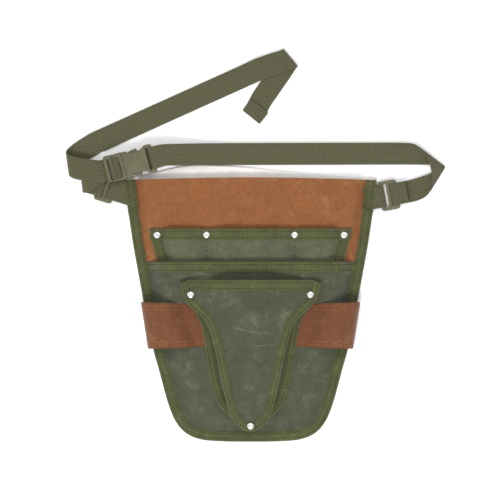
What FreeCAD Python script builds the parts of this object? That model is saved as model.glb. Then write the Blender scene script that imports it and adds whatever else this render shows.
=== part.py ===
"""Garden tool bag: a waxed canvas belt bag with a webbing waist belt, laid on its back.

Frame: millimetres, origin at the centre of the back panel's outer face, +Z up out of the
front of the bag, +Y towards its mouth, +X to the right of someone looking at its front.
The bag is 300 mm tall and 285 mm wide at the mouth. Each piece is its own solid and file.
"""
import FreeCAD
import Part
import math
import os

V = FreeCAD.Vector

# ---- driving dimensions ------------------------------------------------------------------
CANVAS = 1.1              # waxed canvas thickness
TAPE = 0.8                # twill binding tape thickness
TAPE_W = 12.0             # visible width of a folded binding tape
LINING = 0.8              # cotton lining thickness
WEB = 1.4                 # webbing thickness
WEB_W = 25.0              # webbing width
SEAM = 12.0               # width of a flat seam allowance under its binding
SLOPE = 8.0               # width over which a panel rises from its seam
WIDE_SLOPE = 18.0         # the same for the lower pocket's sides
MOUTH_Y = 147.0           # front panel's top edge at its ends
FAR_Y = 200.0             # outlines run on to here before they are cut at a mouth
UPPER_Y = 90.5            # upper pocket's mouth
LOWER_Y = 53.0            # lower pocket's mouth
HOLSTER_Y = 31.0          # holster's mouth
CORNER_Y = 113.0          # lower ends of the two corner bindings
DIVIDER_X = 50.0          # the two divider seams of the upper pocket
DIVIDER = 4.2             # half the flat width of a divider seam
POST_R = 1.5              # rivet post radius
HOLE_R = 1.6              # rivet hole radius
CAP_R = 4.0               # rivet cap radius
CAP_H = 2.0               # rivet cap height
BACK_CAP_H = 0.8          # thickness of the flat cap behind a rivet

# ---- planes of the tilted layers: height of the underside at y = 0, and rise per mm of y --
SEAM_BACK = (TAPE, 0.0)
SEAM_LINING = (SEAM_BACK[0] + CANVAS, 0.0)
SEAM_FRONT = (SEAM_LINING[0] + LINING, 0.0)
SEAM_LOWER = (SEAM_FRONT[0] + CANVAS, 0.0)
SEAM_TOP = SEAM_LOWER[0] + CANVAS + TAPE
BACK = (0.0, 0.0)
LINED = (CANVAS, 0.0)
FRONT = (7.0, 0.020)
UPPER_SEAM = (FRONT[0] + CANVAS + TAPE, FRONT[1])
UPPER = (12.0, 0.0491)
LOWER = (19.2, 0.0578)
HOLSTER = (LOWER[0] + CANVAS, LOWER[1])

# ---- holster outline, right half, from the mouth to the tip ---------------------------------
# x and y of the base seam's edge, x and y of the front seam's edge, height of the front seam
# over the lower pocket, and how far the front panel bulges above its seams
HOLSTER_ROWS = [
    (79.0, 30.0, 79.0, 30.0, 4.7, 14.0),
    (75.5, 12.0, 72.5, 10.0, 6.5, 12.5),
    (66.0, 1.0, 63.0, -1.0, 9.0, 11.5),
    (58.5, -10.0, 53.0, -10.0, 11.5, 10.5),
    (54.0, -23.0, 46.5, -21.0, 13.0, 9.5),
    (51.0, -40.0, 41.7, -37.0, 13.5, 8.5),
    (48.5, -58.0, 37.0, -55.0, 13.5, 7.5),
    (44.4, -81.0, 32.0, -81.0, 13.0, 6.5),
    (38.5, -107.0, 25.8, -108.0, 11.0, 4.5),
    (31.0, -120.0, 22.5, -119.0, 9.5, 3.0),
    (20.0, -129.0, 14.5, -130.5, 8.0, 1.5),
    (7.0, -135.0, 5.0, -137.5, 7.0, 0.3),
]
BIND = 9.0                # width of the holster's bindings

# ---- hardware ---------------------------------------------------------------------------------
UPPER_RIVETS = [(x, 84.0) for x in (-106.0, -50.0, 50.0, 106.0)]
HOLSTER_RIVETS = [(-67.5, 16.5), (67.5, 16.5), (0.0, -132.0)]
BUCKLE = (-164.2, 157.3, 14.0, 15.0)         # ladder end of the buckle: x, y, z, heading
RIGHT_SLIDER = (157.5, 129.4, 3.5, 11.0)     # middle of a slider, and its outward heading
LEFT_SLIDER = (-164.0, 138.4, 3.5, 163.0)
BAR_R = 1.7               # round bars of the sliders
BAR_U = 9.0               # their distance from the slider's middle
WRAP_R = BAR_R + 0.3 + WEB / 2

OUT = "parts"
os.makedirs(OUT, exist_ok=True)


# ---- helpers ----------------------------------------------------------------------------------
def save(name, shape):
    """Writes one node, after checking that it is made of closed solids."""
    solids = shape.Solids
    assert solids, name
    made = Part.makeCompound(solids) if len(solids) > 1 else solids[0]
    made.exportStep(os.path.join(OUT, name + ".step"))
    state = "ok" if made.isValid() else "INVALID"
    print(f"{name:24s} {state} solids {len(solids)} volume {made.Volume:9.1f}")
    return made


def box(x0, y0, z0, x1, y1, z1):
    return Part.makeBox(x1 - x0, y1 - y0, z1 - z0, V(x0, y0, z0))


def prism(points, z0, z1):
    """A flat polygon of (x, y) points, raised from z0 to z1."""
    wire = Part.makePolygon([V(x, y, z0) for x, y in points] + [V(*points[0], z0)])
    return Part.Face(wire).extrude(V(0, 0, z1 - z0))


def ring_loft(rings):
    """A solid through rings of points, straight from each ring to the next."""
    return Part.makeLoft([Part.makePolygon(r + [r[0]]) for r in rings], True, True)


def fused(shapes):
    whole = shapes[0].multiFuse(shapes[1:]) if len(shapes) > 1 else shapes[0]
    return whole.removeSplitter()


def mirrored(shape):
    return shape.mirror(V(0, 0, 0), V(1, 0, 0))


def placed(shape, x, y, z, turn):
    """A shape drawn along local X, turned about Z and moved to its place."""
    made = shape.copy()
    made.Placement = FreeCAD.Placement(V(x, y, z), FreeCAD.Rotation(V(0, 0, 1), turn))
    return made


def on(plane, x, y, lift=0.0):
    return V(x, y, plane[0] + plane[1] * y + lift)


def lifted(plane, by):
    return (plane[0] + by, plane[1])


def between(y0, y1, x0=-250, x1=250):
    """A block that keeps a band of y."""
    return box(x0, y0, -20, x1, y1, 120)


def under_curve(points):
    """A block that keeps what lies below a smooth line through (x, y) points."""
    line = Part.BSplineCurve()
    line.interpolate([V(x, y, -20) for x, y in points])
    (x0, y0), (x1, y1) = points[0], points[-1]
    rest = Part.makePolygon([V(x1, y1, -20), V(x1, -250, -20), V(x0, -250, -20), V(x0, y0, -20)])
    wire = Part.Wire([line.toShape()] + rest.Edges)
    return Part.Face(wire).extrude(V(0, 0, 140))


def rod(x, y, z0, z1, r):
    return Part.makeCylinder(r, z1 - z0, V(x, y, z0))


def drilled(shape, places):
    for x, y in places:
        shape = shape.cut(rod(x, y, -5, 90, HOLE_R))
    return shape


# ---- panels -----------------------------------------------------------------------------------
def bag_outline(inset, plane, low=None):
    """The bag's outline, drawn in by inset (by low at the bottom), lying in a plane."""
    low = inset if low is None else low
    mid = (inset + low) / 2
    side = [(146 - inset, FAR_Y), (129.8 - inset, 54), (97.5 - inset, -92 + 0.15 * low)]
    corner = (83.5 - 0.8 * mid, -129.5 + 0.62 * mid)
    end = (55 - 0.35 * mid, -149 + low)
    bottom = (0, -150.5 + low)

    def arc(*points):
        return Part.Arc(*[on(plane, x, y) for x, y in points]).toShape()

    def left(p):
        return (-p[0], p[1])

    return Part.Wire([
        arc(side[0], side[1], side[2]),
        arc(side[2], corner, end),
        arc(end, bottom, left(end)),
        arc(left(end), left(corner), left(side[2])),
        arc(left(side[2]), left(side[1]), left(side[0])),
        Part.makeLine(on(plane, *left(side[0])), on(plane, *side[0])),
    ])


def pocket_outline(inset, plane, part=None):
    """The upper pocket's outline, or one of its three chambers (-1, 0 or 1)."""
    top, bottom, low = 141.0 - inset, 88.0 - inset, -20.0 + inset
    seam = DIVIDER + inset - SEAM
    if part == 0:
        half = DIVIDER_X - seam
        points = [(half, FAR_Y), (half, low), (-half, low), (-half, FAR_Y)]
    elif part:
        near = DIVIDER_X + seam
        points = [(part * x, y) for x, y in
                  ((top, FAR_Y), (bottom, low), (near, low), (near, FAR_Y))]
    else:
        points = [(top, FAR_Y), (bottom, low), (-bottom, low), (-top, FAR_Y)]
    return Part.makePolygon([on(plane, x, y) for x, y in points + points[:1]])


def plate(wire, thick):
    return Part.Face(wire).extrude(V(0, 0, thick))


def raised(outlines, seam, level, edge, thick):
    """A sewn panel: flat in its seam, sloping, then level. outlines: (low ring, high ring)."""
    whole = plate(edge(seam), thick)
    for low_ring, high_ring in outlines:
        up = Part.makeLoft([low_ring(lifted(seam, thick)), high_ring(lifted(level, thick))],
                           True, True)
        whole = whole.fuse(up)
    for low_ring, high_ring in outlines:
        whole = whole.cut(Part.makeLoft([low_ring(seam), high_ring(level)], True, True))
    return whole.removeSplitter()


def sunken(seam, level, thick):
    """A panel of the bag's outline whose middle lies lower than its seam."""
    bottom = Part.makeLoft([bag_outline(SEAM + SLOPE, level), bag_outline(SEAM, seam)], True, True)
    top = Part.makeLoft([bag_outline(SEAM + SLOPE, lifted(level, thick)),
                         bag_outline(SEAM, lifted(seam, thick))], True, True)
    return bottom.fuse(plate(bag_outline(TAPE, seam), thick)).cut(top).removeSplitter()


def front_dish(grow=0.0):
    """The front panel before it is trimmed, or a thicker skin around it."""
    return raised(
        [(lambda p: bag_outline(SEAM, p), lambda p: bag_outline(SEAM + SLOPE, p))],
        lifted(SEAM_FRONT, -grow), lifted(FRONT, -grow),
        lambda p: bag_outline(TAPE, p), CANVAS + 2 * grow)


def lower_dish(grow=0.0):
    return raised(
        [(lambda p: bag_outline(SEAM, p),
          lambda p: bag_outline(SEAM + WIDE_SLOPE, p, SEAM + SLOPE))],
        lifted(SEAM_LOWER, -grow), lifted(LOWER, -grow),
        lambda p: bag_outline(TAPE, p), CANVAS + 2 * grow)


def upper_dish(grow=0.0):
    def ring(inset, part):
        return lambda p: pocket_outline(inset, p, part)

    return raised([(ring(SEAM, i), ring(SEAM + SLOPE, i)) for i in (-1, 0, 1)],
                  lifted(UPPER_SEAM, -grow), lifted(UPPER, -grow),
                  lambda p: pocket_outline(0, p), CANVAS + 2 * grow)


def edge_tape(y0, y1):
    """The folded tape round the bag's edge, between two heights."""
    outer = plate(bag_outline(0, (0, 0)), SEAM_TOP)
    seam = plate(bag_outline(TAPE, (TAPE, 0)), SEAM_TOP - 2 * TAPE)
    window = plate(bag_outline(TAPE_W - 1, (-1, 0)), SEAM_TOP + 2)
    return outer.cut(seam).cut(window).common(between(y0, y1))


# ---- holster ----------------------------------------------------------------------------------
def full_path(column):
    """The seam edge points from the left mouth corner, round the tip, to the right one."""
    right = [V(row[column], row[column + 1], 0) for row in HOLSTER_ROWS]
    return [V(-p.x, p.y, 0) for p in right] + right[::-1]


def inward(path):
    """Mitred inward directions at the points of a seam path."""
    normals = []
    for i in range(len(path)):
        sides = []
        for a, b in ((i - 1, i), (i, i + 1)):
            if a >= 0 and b < len(path):
                d = path[b] - path[a]
                sides.append(V(-d.y, d.x, 0).normalize())
        mean = sides[0] + sides[-1]
        mean.normalize()
        normals.append(mean / max(0.7, mean.dot(sides[0])))
    normals[0], normals[-1] = V(1, 0, 0), V(-1, 0, 0)
    return normals


ROWS = HOLSTER_ROWS + HOLSTER_ROWS[::-1]
BASE_PATH, FRONT_PATH = full_path(0), full_path(2)
BASE_IN, FRONT_IN = inward(BASE_PATH), inward(FRONT_PATH)


def base_point(i, d, lift):
    p = BASE_PATH[i] + BASE_IN[i] * d
    return on(HOLSTER, p.x, p.y, lift)


def front_point(i, d, lift):
    p = FRONT_PATH[i] + FRONT_IN[i] * d
    p.z = on(HOLSTER, FRONT_PATH[i].x, FRONT_PATH[i].y, ROWS[i][4] + lift).z
    return p


def seam_bar(point, low, high):
    return ring_loft([[point(i, 0, low), point(i, BIND, low), point(i, BIND, high),
                       point(i, 0, high)] for i in range(len(ROWS))])


def gusset():
    flat, t = BIND, CANVAS
    return ring_loft([[
        base_point(i, TAPE, TAPE + t), base_point(i, flat, TAPE + t),
        front_point(i, flat - 2, -t), front_point(i, TAPE, -t),
        front_point(i, TAPE, 0), front_point(i, flat - 2 + t, 0),
        base_point(i, flat + t, TAPE), base_point(i, TAPE, TAPE)] for i in range(len(ROWS))])


def arch(i, low, high, y=None):
    """One cross-section of the holster's front: flat under its bindings, bulging between."""
    edge, inner = front_point(i, TAPE, 0), front_point(i, BIND, 0)
    edge.x, inner.x = abs(edge.x), abs(inner.x)
    level = [V(-edge.x, edge.y, edge.z)]
    for k in range(13):
        u = -1 + k / 6
        rise = ROWS[i][5] * math.cos(u * math.pi / 2) ** 2
        level.append(V(u * inner.x, inner.y, inner.z + rise))
    level.append(V(edge.x, edge.y, edge.z))
    if y is not None:
        level = [V(p.x, y, p.z) for p in level]
    return [p + V(0, 0, low) for p in level] + [p + V(0, 0, high) for p in level[::-1]]


def front_sections(low, high):
    last = len(HOLSTER_ROWS) - 1
    rings = [arch(0, low, high, HOLSTER_ROWS[0][3])]
    rings += [arch(i, low, high) for i in range(1, last)]
    return rings + [arch(last, low, high, HOLSTER_ROWS[last][3] + 1.2)]


def mouth_sections(low, high, back):
    """The first two cross-sections, the second moved up until it is back mm from the mouth."""
    a, b = front_sections(low, high)[:2]
    y0 = a[0].y
    part = [p + (q - p) * (back / (p.y - q.y)) for p, q in zip(a, b)]
    return [[p + V(0, TAPE, 0) for p in a], [V(p.x, y0, p.z) for p in a], part]


# ---- webbing ----------------------------------------------------------------------------------
def webbing(stations, thick=WEB):
    """A strap through stations. A station is the two points where its edges are."""
    fine = [stations[0]]
    for (a0, b0), (a1, b1) in zip(stations, stations[1:]):
        steps = max(1, math.ceil(max((a1 - a0).Length, (b1 - b0).Length) / 14.0))
        fine += [(a0 + (a1 - a0) * (k / steps), b0 + (b1 - b0) * (k / steps))
                 for k in range(1, steps + 1)]
    stations = fine
    mids = [(a + b) * 0.5 for a, b in stations]
    rings = []
    for i, (a, b) in enumerate(stations):
        along = mids[min(i + 1, len(mids) - 1)] - mids[max(i - 1, 0)]
        up = along.cross(b - a).normalize() * (thick / 2)
        rings.append([a - up, b - up, b + up, a + up])
    return ring_loft(rings)


def across(x, y, z, heading, flip=False):
    """A station square across a strap; flip it when the strap lies on its other face."""
    angle = math.radians(heading + (-90 if flip else 90))
    half = V(math.cos(angle), math.sin(angle), 0) * (WEB_W / 2)
    return (V(x, y, z) - half, V(x, y, z) + half)


def fold(x, y, heading, cut, z_from, z_to, slip=0.0, steps=6):
    """Stations that roll a strap over a line at the angle cut, from one level to another."""
    angle = math.radians(cut)
    line = V(math.cos(angle), math.sin(angle), 0)
    half = line * (WEB_W / 2 / abs(math.sin(angle - math.radians(heading))))
    push = V(-line.y, line.x, 0)
    if push.dot(V(math.cos(math.radians(heading)), math.sin(math.radians(heading)), 0)) < 0:
        push = push * -1
    radius, middle = (z_from - z_to) / 2, (z_from + z_to) / 2
    made = []
    for k in range(steps + 1):
        t = math.pi * k / steps
        centre = V(x, y, middle + radius * math.cos(t)) + push * (abs(radius) * math.sin(t))
        centre = centre + line * (slip * k / steps)
        made.append((centre - half, centre + half))
    return made


def at(frame, u, v, z):
    """A point given in a placed piece's own axes."""
    x, y, z0, turn = frame
    c, s = math.cos(math.radians(turn)), math.sin(math.radians(turn))
    return (x + u * c - v * s, y + u * s + v * c, z0 + z)


def wrapped(frame, u, radius, side, first, second):
    """Stations to a bar at u, round it on one side, and away. first, second: offset, height."""
    turn, steps = frame[3], 8
    way = 1 if first[1] > 0 else -1
    places = [first]
    for k in range(steps + 1):
        t = math.pi * k / steps
        places.append((side * radius * math.sin(t), way * radius * math.cos(t)))
    places.append(second)
    return [across(*at(frame, u + du, 0, z), turn + 180) for du, z in places]


def swapped(stations):
    return [(b, a) for a, b in stations]


def largest(shape, least=40.0):
    """The solids of a shape that are more than trimmings."""
    return Part.makeCompound([s for s in shape.Solids if s.Volume > least])


# ---- the bag's panels ---------------------------------------------------------------------------
back_cut = under_curve([(-250, 146), (-146, 147), (-118, 152), (-70, 162), (-20, 161),
                        (50, 155), (110, 150), (146, 148), (250, 147)])
front_cut = under_curve([(-250, 144), (-146, 146.5), (0, 149.5), (146, 146.5), (250, 144)])

save("back_panel", sunken(SEAM_BACK, BACK, CANVAS).common(back_cut))
save("lining_panel", sunken(SEAM_LINING, LINED, LINING).common(back_cut))
front_whole = front_dish()
save("front_panel", drilled(front_whole.common(front_cut), UPPER_RIVETS))

upper_whole = upper_dish()
upper_panel = upper_whole.common(between(-30, UPPER_Y))
save("upper_pocket_panel", drilled(upper_panel, UPPER_RIVETS))
mouth = upper_dish(TAPE).common(between(UPPER_Y - TAPE_W, UPPER_Y + TAPE))
sides = plate(pocket_outline(-TAPE, lifted(UPPER_SEAM, -TAPE)), CANVAS + 2 * TAPE)
sides = sides.cut(plate(pocket_outline(TAPE_W - 1, lifted(UPPER_SEAM, -5)), 12))
sides = sides.common(between(-8, UPPER_Y + TAPE))
upper_tape = fused([mouth, sides]).cut(upper_panel)
save("upper_pocket_binding", drilled(upper_tape, UPPER_RIVETS))

lower_whole = lower_dish()
lower_panel = lower_whole.common(between(-250, LOWER_Y))
save("lower_pocket_panel", drilled(lower_panel, HOLSTER_RIVETS))
mouth = lower_dish(TAPE).common(between(LOWER_Y - TAPE_W, LOWER_Y + TAPE))
mouth = mouth.common(plate(bag_outline(SEAM, (-1, 0)), 60))
save("lower_pocket_binding", mouth.cut(lower_panel).cut(front_whole))

save("edge_binding", edge_tape(-250, CORNER_Y))
corner = edge_tape(CORNER_Y, MOUTH_Y - 0.5)
save("left_corner_binding", corner.common(box(-250, 0, -20, 0, 250, 50)))
save("right_corner_binding", corner.common(box(0, 0, -20, 250, 250, 50)))

# ---- the holster ----------------------------------------------------------------------------------
holster_panel = ring_loft(front_sections(0, CANVAS))
holster_gusset = gusset().cut(holster_panel)
front_bar = seam_bar(front_point, -CANVAS - TAPE, CANVAS + TAPE)
base_bar = seam_bar(base_point, 0, CANVAS + 2 * TAPE)
front_tape = front_bar.cut(holster_panel).cut(holster_gusset)
base_tape = base_bar.cut(holster_gusset).cut(front_bar)
mouth_tape = ring_loft(mouth_sections(-TAPE, CANVAS + TAPE, TAPE_W - 2)).cut(front_bar)
mouth_tape = mouth_tape.cut(holster_panel).cut(holster_gusset)
save("holster_front_panel", drilled(holster_panel, HOLSTER_RIVETS))
save("holster_gusset", drilled(holster_gusset, HOLSTER_RIVETS))
save("holster_front_binding", drilled(front_tape, HOLSTER_RIVETS))
save("holster_base_binding", drilled(largest(base_tape), HOLSTER_RIVETS))
save("holster_mouth_binding", largest(mouth_tape))

# ---- tool loops -------------------------------------------------------------------------------------
LOOP_T = 1.6


def loop_ring(y, root, edge):
    """The loop's section at y: a flange on the pocket, an arch, and a lip at the bag's edge."""
    z = on(HOLSTER, 0, y).z
    line = [(root, z), (root + 10, z), (root + 17, z + 4), (root + 24, z + 7.5),
            (edge - 22, z + 8.5), (edge - 10, z + 6.5), (edge, z + 1), (edge + 3.6, z - 6),
            (edge + 3.6, 7.5), (edge + 1.6, 3.4), (edge, 2.2)]
    rings = []
    for i, (x, h) in enumerate(line):
        a, b = line[max(i - 1, 0)], line[min(i + 1, len(line) - 1)]
        length = math.hypot(b[0] - a[0], b[1] - a[1])
        rings.append((x, h, (a[1] - b[1]) / length, (b[0] - a[0]) / length))
    under = [V(x, y, h) for x, h, _, _ in rings]
    over = [V(x + nx * LOOP_T, y, h + nz * LOOP_T) for x, h, nx, nz in rings]
    over[-1] = V(edge, y, 2.2 - LOOP_T)
    return under + over[::-1]


loop = ring_loft([loop_ring(6.0, 70.0, 119.2), loop_ring(-42.0, 51.0, 111.2)])
loop = loop.cut(base_bar).cut(lower_panel).cut(edge_tape(-250, CORNER_Y))
loop = max(loop.Solids, key=lambda s: s.Volume)
save("right_tool_loop", loop)
save("left_tool_loop", mirrored(loop))

# ---- rivets -----------------------------------------------------------------------------------------


def cap(x, y, z, r=CAP_R, h=CAP_H):
    """A domed rivet cap standing on z."""
    made = rod(x, y, z, z + h, r)
    return made.makeFillet(h * 0.75, [e for e in made.Edges if e.BoundBox.ZMin > z + h - 0.01])


def rivet(x, y, cap_z, back_z):
    """A rivet's post, with the flat cap behind it."""
    return fused([rod(x, y, back_z - BACK_CAP_H, back_z, CAP_R - 0.5),
                  rod(x, y, back_z - 0.1, cap_z, POST_R)])


caps, posts = [], []
for x, y in UPPER_RIVETS:
    z = on(UPPER_SEAM, x, y + CAP_R, CANVAS + TAPE).z
    caps.append(cap(x, y, z))
    posts.append(rivet(x, y, z, on(FRONT, x, y - CAP_R).z))
save("upper_rivet_caps", Part.makeCompound(caps))
save("upper_rivet_posts", Part.makeCompound(posts))

caps, posts = [], []
for x, y in HOLSTER_RIVETS:
    row = 1 if x else len(HOLSTER_ROWS) - 2
    t = 0.0 if not x else (y - 12.0) / 18.0
    rise = HOLSTER_ROWS[row][4] + t * (HOLSTER_ROWS[row - 1][4] - HOLSTER_ROWS[row][4])
    z = on(HOLSTER, x, y, rise + CANVAS + TAPE).z + 0.5
    caps.append(cap(x, y, z))
    under = on(LOWER, x, y - CAP_R).z if x else on(SEAM_LOWER, x, y).z + 2.8
    posts.append(rivet(x, y, z, under))
save("holster_rivet_caps", Part.makeCompound(caps))
save("holster_rivet_posts", Part.makeCompound(posts))

# ---- sliders and tabs ---------------------------------------------------------------------------------


def slider():
    """A three-bar slider along local X: round outer bars, a flat middle bar, two rails."""
    end = BAR_U + BAR_R
    rails = []
    for side in (-1, 1):
        rail = box(-end, side * 15.1 - 1.9, -1.5, end, side * 15.1 + 1.9, 1.5)
        outer = [e for e in rail.Edges if abs(e.BoundBox.ZLength - 3) < 0.01
                 and side * e.BoundBox.YMax > 16.9]
        rails.append(rail.makeFillet(3.6, outer))
    bars = [Part.makeCylinder(BAR_R, 28, V(u, -14, 0), V(0, 1, 0)) for u in (-BAR_U, BAR_U)]
    return fused(rails + bars + [box(-1.8, -14, -1.3, 1.8, 14, 1.3)])


outer_wall = plate(bag_outline(0, (-20, 0)), 60)
for name, frame in (("right", RIGHT_SLIDER), ("left", LEFT_SLIDER)):
    save(name + "_slider", placed(slider(), *frame))
    tab = webbing(wrapped(frame, -BAR_U, WRAP_R, 1, (-20, 1.2), (-20, -2.0)))
    save(name + "_tab", tab.cut(outer_wall))

# ---- the buckle -----------------------------------------------------------------------------------------
BAR_END = 55.0            # the female half's end bar, from the ladder end
END_BAR_R = 2.0


def ladder():
    """The male half's ladder frame, root and guide prong, along local X."""
    frame = box(0, -15.5, -2.2, 22, 15.5, 2.2)
    for u0, u1 in ((3.6, 8.6), (12.2, 17.6)):
        frame = frame.cut(box(u0, -12.9, -3, u1, 12.9, 3))
    upright = [e for e in frame.Edges if abs(e.BoundBox.ZLength - 4.4) < 0.01
               and e.BoundBox.XMax < 0.1]
    frame = frame.makeFillet(2.5, upright)
    return frame.fuse(box(21.5, -2.6, -2.2, 43, 2.6, 2.2)).removeSplitter()


def arm():
    """One spring arm with its catch, on the positive side."""
    outline = [(23.7, 8.0), (42, 8.6), (44.5, 10), (43, 12.0), (40.2, 12.3), (39.4, 15.2),
               (35.5, 15.2), (30, 13.6), (27.8, 12.1), (25.5, 11.2), (23.7, 11.2)]
    return fused([prism(outline, -2, 2), rod(23.7, 9.6, -2, 2, 1.6)])


def socket():
    """The female half: a hollow waisted body, with a strap slot and a round bar."""
    body = box(22.2, -15, -4.5, 49, 15, 4.5)
    body = body.makeFillet(2.0, [e for e in body.Edges if e.BoundBox.XLength > 20])
    body = body.cut(box(22, -12.6, -2.8, 46.5, 12.6, 2.8))
    body = body.cut(box(27, -16, -2.4, 41.4, 16, 2.4))
    for side in (-1, 1):
        waist = [(27.0, 15.2), (29.4, 12.4), (33.5, 11.2), (38.5, 11.2), (41.4, 12.0),
                 (44.6, 13.2), (47.5, 15.2)]
        body = body.cut(prism([(u, side * v) for u, v in waist], -5, 5))
    ears = []
    for side in (-1, 1):
        ear = box(47.6, side * 14.5 - 1.8, -2.2, BAR_END + 1.4, side * 14.5 + 1.8, 2.2)
        outer = [e for e in ear.Edges if abs(e.BoundBox.ZLength - 4.4) < 0.01
                 and side * e.BoundBox.YMax > 16.2]
        ears.append(ear.makeFillet(2.4, outer))
    lip = box(48.5, -12.8, -4.5, 51.0, 12.8, -3.3)
    bar = Part.makeCylinder(END_BAR_R, 30, V(BAR_END, -15, 0), V(0, 1, 0))
    return fused([body, lip, bar] + ears)


save("buckle_male", placed(ladder(), *BUCKLE))
left_arm = arm()
save("buckle_left_arm", placed(left_arm, *BUCKLE))
save("buckle_right_arm", placed(left_arm.mirror(V(0, 0, 0), V(0, 1, 0)), *BUCKLE))
save("buckle_female", placed(socket(), *BUCKLE))

# ---- the belt's straps ------------------------------------------------------------------------------------
FLOOR_Z = 0.9             # middle of a strap lying on the floor
OVER_Z = FLOOR_Z + WEB + 0.5   # middle of a strap crossing one other
end_r = END_BAR_R + WEB / 2 + 0.02

# main strap: hem, round the female half's bar, along, two folds, round the right slider's bar
main = swapped(wrapped(BUCKLE, BAR_END, end_r, -1, (12.0, -3.4), (10.0, 2.4)))
main += [across(-80, 175.2, 12.0, 4), across(-50, 176.0, 6.0, 1.5),
         across(-20, 176.3, OVER_Z, 1), across(160, 176.8, OVER_Z, 0)]
main += fold(204.5, 176.6, 0.5, 142, OVER_Z, FLOOR_Z)
main += fold(212.6, 144.3, -76.5, 238.8, FLOOR_Z, OVER_Z)
main += wrapped(RIGHT_SLIDER, BAR_U, WRAP_R, -1, (11.0, 3.4), (20.0, -0.9))[::-1]
save("main_strap", webbing(main))

# tail strap: ladder's middle bar, out under its outer bar, over, along, fold, hem
tail = [across(*at(BUCKLE, u, 0, z), 195, True) for u, z in
        ((10.6, 3.05), (8.3, 3.05), (6.9, 1.2), (5.6, -1.6), (4.4, -2.95), (2.6, -2.97),
         (-3.0, -3.0))]
tail += [across(-178, 156.5, 11.4, 180, True)]
tail += fold(-203.5, 160.5, 172, 98, 11.4, FLOOR_Z, slip=9.0)
tail += [across(-180, 187.5, FLOOR_Z, 24), across(-20, 259.5, FLOOR_Z, 24.3),
         across(12, 274.0, OVER_Z, 24.5)]
tail += fold(45.5, 286.0, 24.5, 130, OVER_Z, FLOOR_Z)
tail += [across(13.0, 239.0, FLOOR_Z, 233, True)]
tail += fold(1.5, 219.5, 231, 141, FLOOR_Z, FLOOR_Z + WEB + 0.3)
tail += [across(10.5, 230.8, FLOOR_Z + WEB + 0.1, 51)]
save("tail_strap", webbing(tail))

# short strap: hem, round the left slider's bar, over, up through the ladder to its middle bar
short = swapped(wrapped(LEFT_SLIDER, BAR_U, WRAP_R, -1, (8.0, 3.0), (12.0, -2.5)))
short += fold(-187.5, 146.0, 163, 275.5, 1.1, 9.5)
short += [across(*at(BUCKLE, u, 0, z), 15, True) for u, z in
          ((-5.0, -4.45), (14.0, -4.45), (15.5, -3.6), (16.2, -1.5), (15.8, 1.6),
           (14.2, 3.0), (10.9, 3.1))]
save("short_strap", webbing(short))
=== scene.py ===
"""Garden tool bag: the looks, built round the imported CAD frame.

The panels, tapes, straps and stitches are meshes worked out in millimetres in the CAD's own
frame: +Z out of the bag's front, +Y towards its mouth, origin on its back.
"""
import math

import bmesh
import bpy
import numpy as np
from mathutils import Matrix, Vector


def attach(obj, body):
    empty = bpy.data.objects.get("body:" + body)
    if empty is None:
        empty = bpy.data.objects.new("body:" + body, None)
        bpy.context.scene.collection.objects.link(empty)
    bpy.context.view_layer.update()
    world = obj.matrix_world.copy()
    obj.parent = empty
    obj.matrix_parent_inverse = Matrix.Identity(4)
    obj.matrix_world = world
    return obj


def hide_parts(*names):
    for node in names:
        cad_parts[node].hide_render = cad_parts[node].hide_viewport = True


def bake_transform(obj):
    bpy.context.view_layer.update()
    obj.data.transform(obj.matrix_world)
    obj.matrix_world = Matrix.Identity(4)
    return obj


bl_info = {
    "name": "Garden Tool Bag",
    "version": (1, 0, 0),
    "blender": (4, 5, 0),
    "location": "View3D > Sidebar > Tool Bag",
    "description": "Builds a waxed canvas garden tool bag with a webbing waist belt",
    "category": "Add Mesh",
}

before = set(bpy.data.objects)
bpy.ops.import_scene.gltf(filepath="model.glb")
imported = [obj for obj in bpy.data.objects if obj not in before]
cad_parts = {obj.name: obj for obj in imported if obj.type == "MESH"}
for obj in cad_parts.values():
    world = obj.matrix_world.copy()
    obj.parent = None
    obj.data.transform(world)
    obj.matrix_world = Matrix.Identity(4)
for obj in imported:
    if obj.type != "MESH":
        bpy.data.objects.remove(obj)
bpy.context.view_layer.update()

# ---- sizes in millimetres, as the CAD has them ---------------------------------------------
CANVAS, TAPE, LINING, WEB, WEB_W = 1.1, 0.8, 0.8, 1.4, 25.0
SEAM_BACK, SEAM_LINING, SEAM_FRONT, SEAM_LOWER = 0.8, 1.9, 2.7, 3.8
SEAM_W, TAPE_W, EDGE_TAPE_W = 12.0, 12.0, 10.8
UPPER_Y, LOWER_Y, CORNER_Y = 90.5, 53.0, 113.0
DIVIDER_X = 50.0
LOOP, LOOP_TOP, LOOP_BOTTOM = 1.6, 6.0, -42.0
SIDE_SEAT, TIP_SEAT = 29.9, 23.27
FLOOR_TOP, FLOOR_REACH = -0.85, 4000
UPPER_RIVETS = [(-106.0, 84.0), (-50.0, 84.0), (50.0, 84.0), (106.0, 84.0)]
HOLSTER_RIVETS = [(-67.5, 16.5), (67.5, 16.5), (0.0, -132.0)]
BUCKLE = (-164.2, 157.3, 14.0, 15.0)
RIGHT_SLIDER = (157.5, 129.4, 3.5, 11.0)
LEFT_SLIDER = (-164.0, 138.4, 3.5, 163.0)
BAR_U, WRAP_R = 9.0, 1.7 + 0.3 + WEB / 2
BAR_END, END_R = 55.0, 2.02 + WEB / 2
FLOOR_Z = 0.9
OVER_Z = FLOOR_Z + WEB + 0.5

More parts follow.
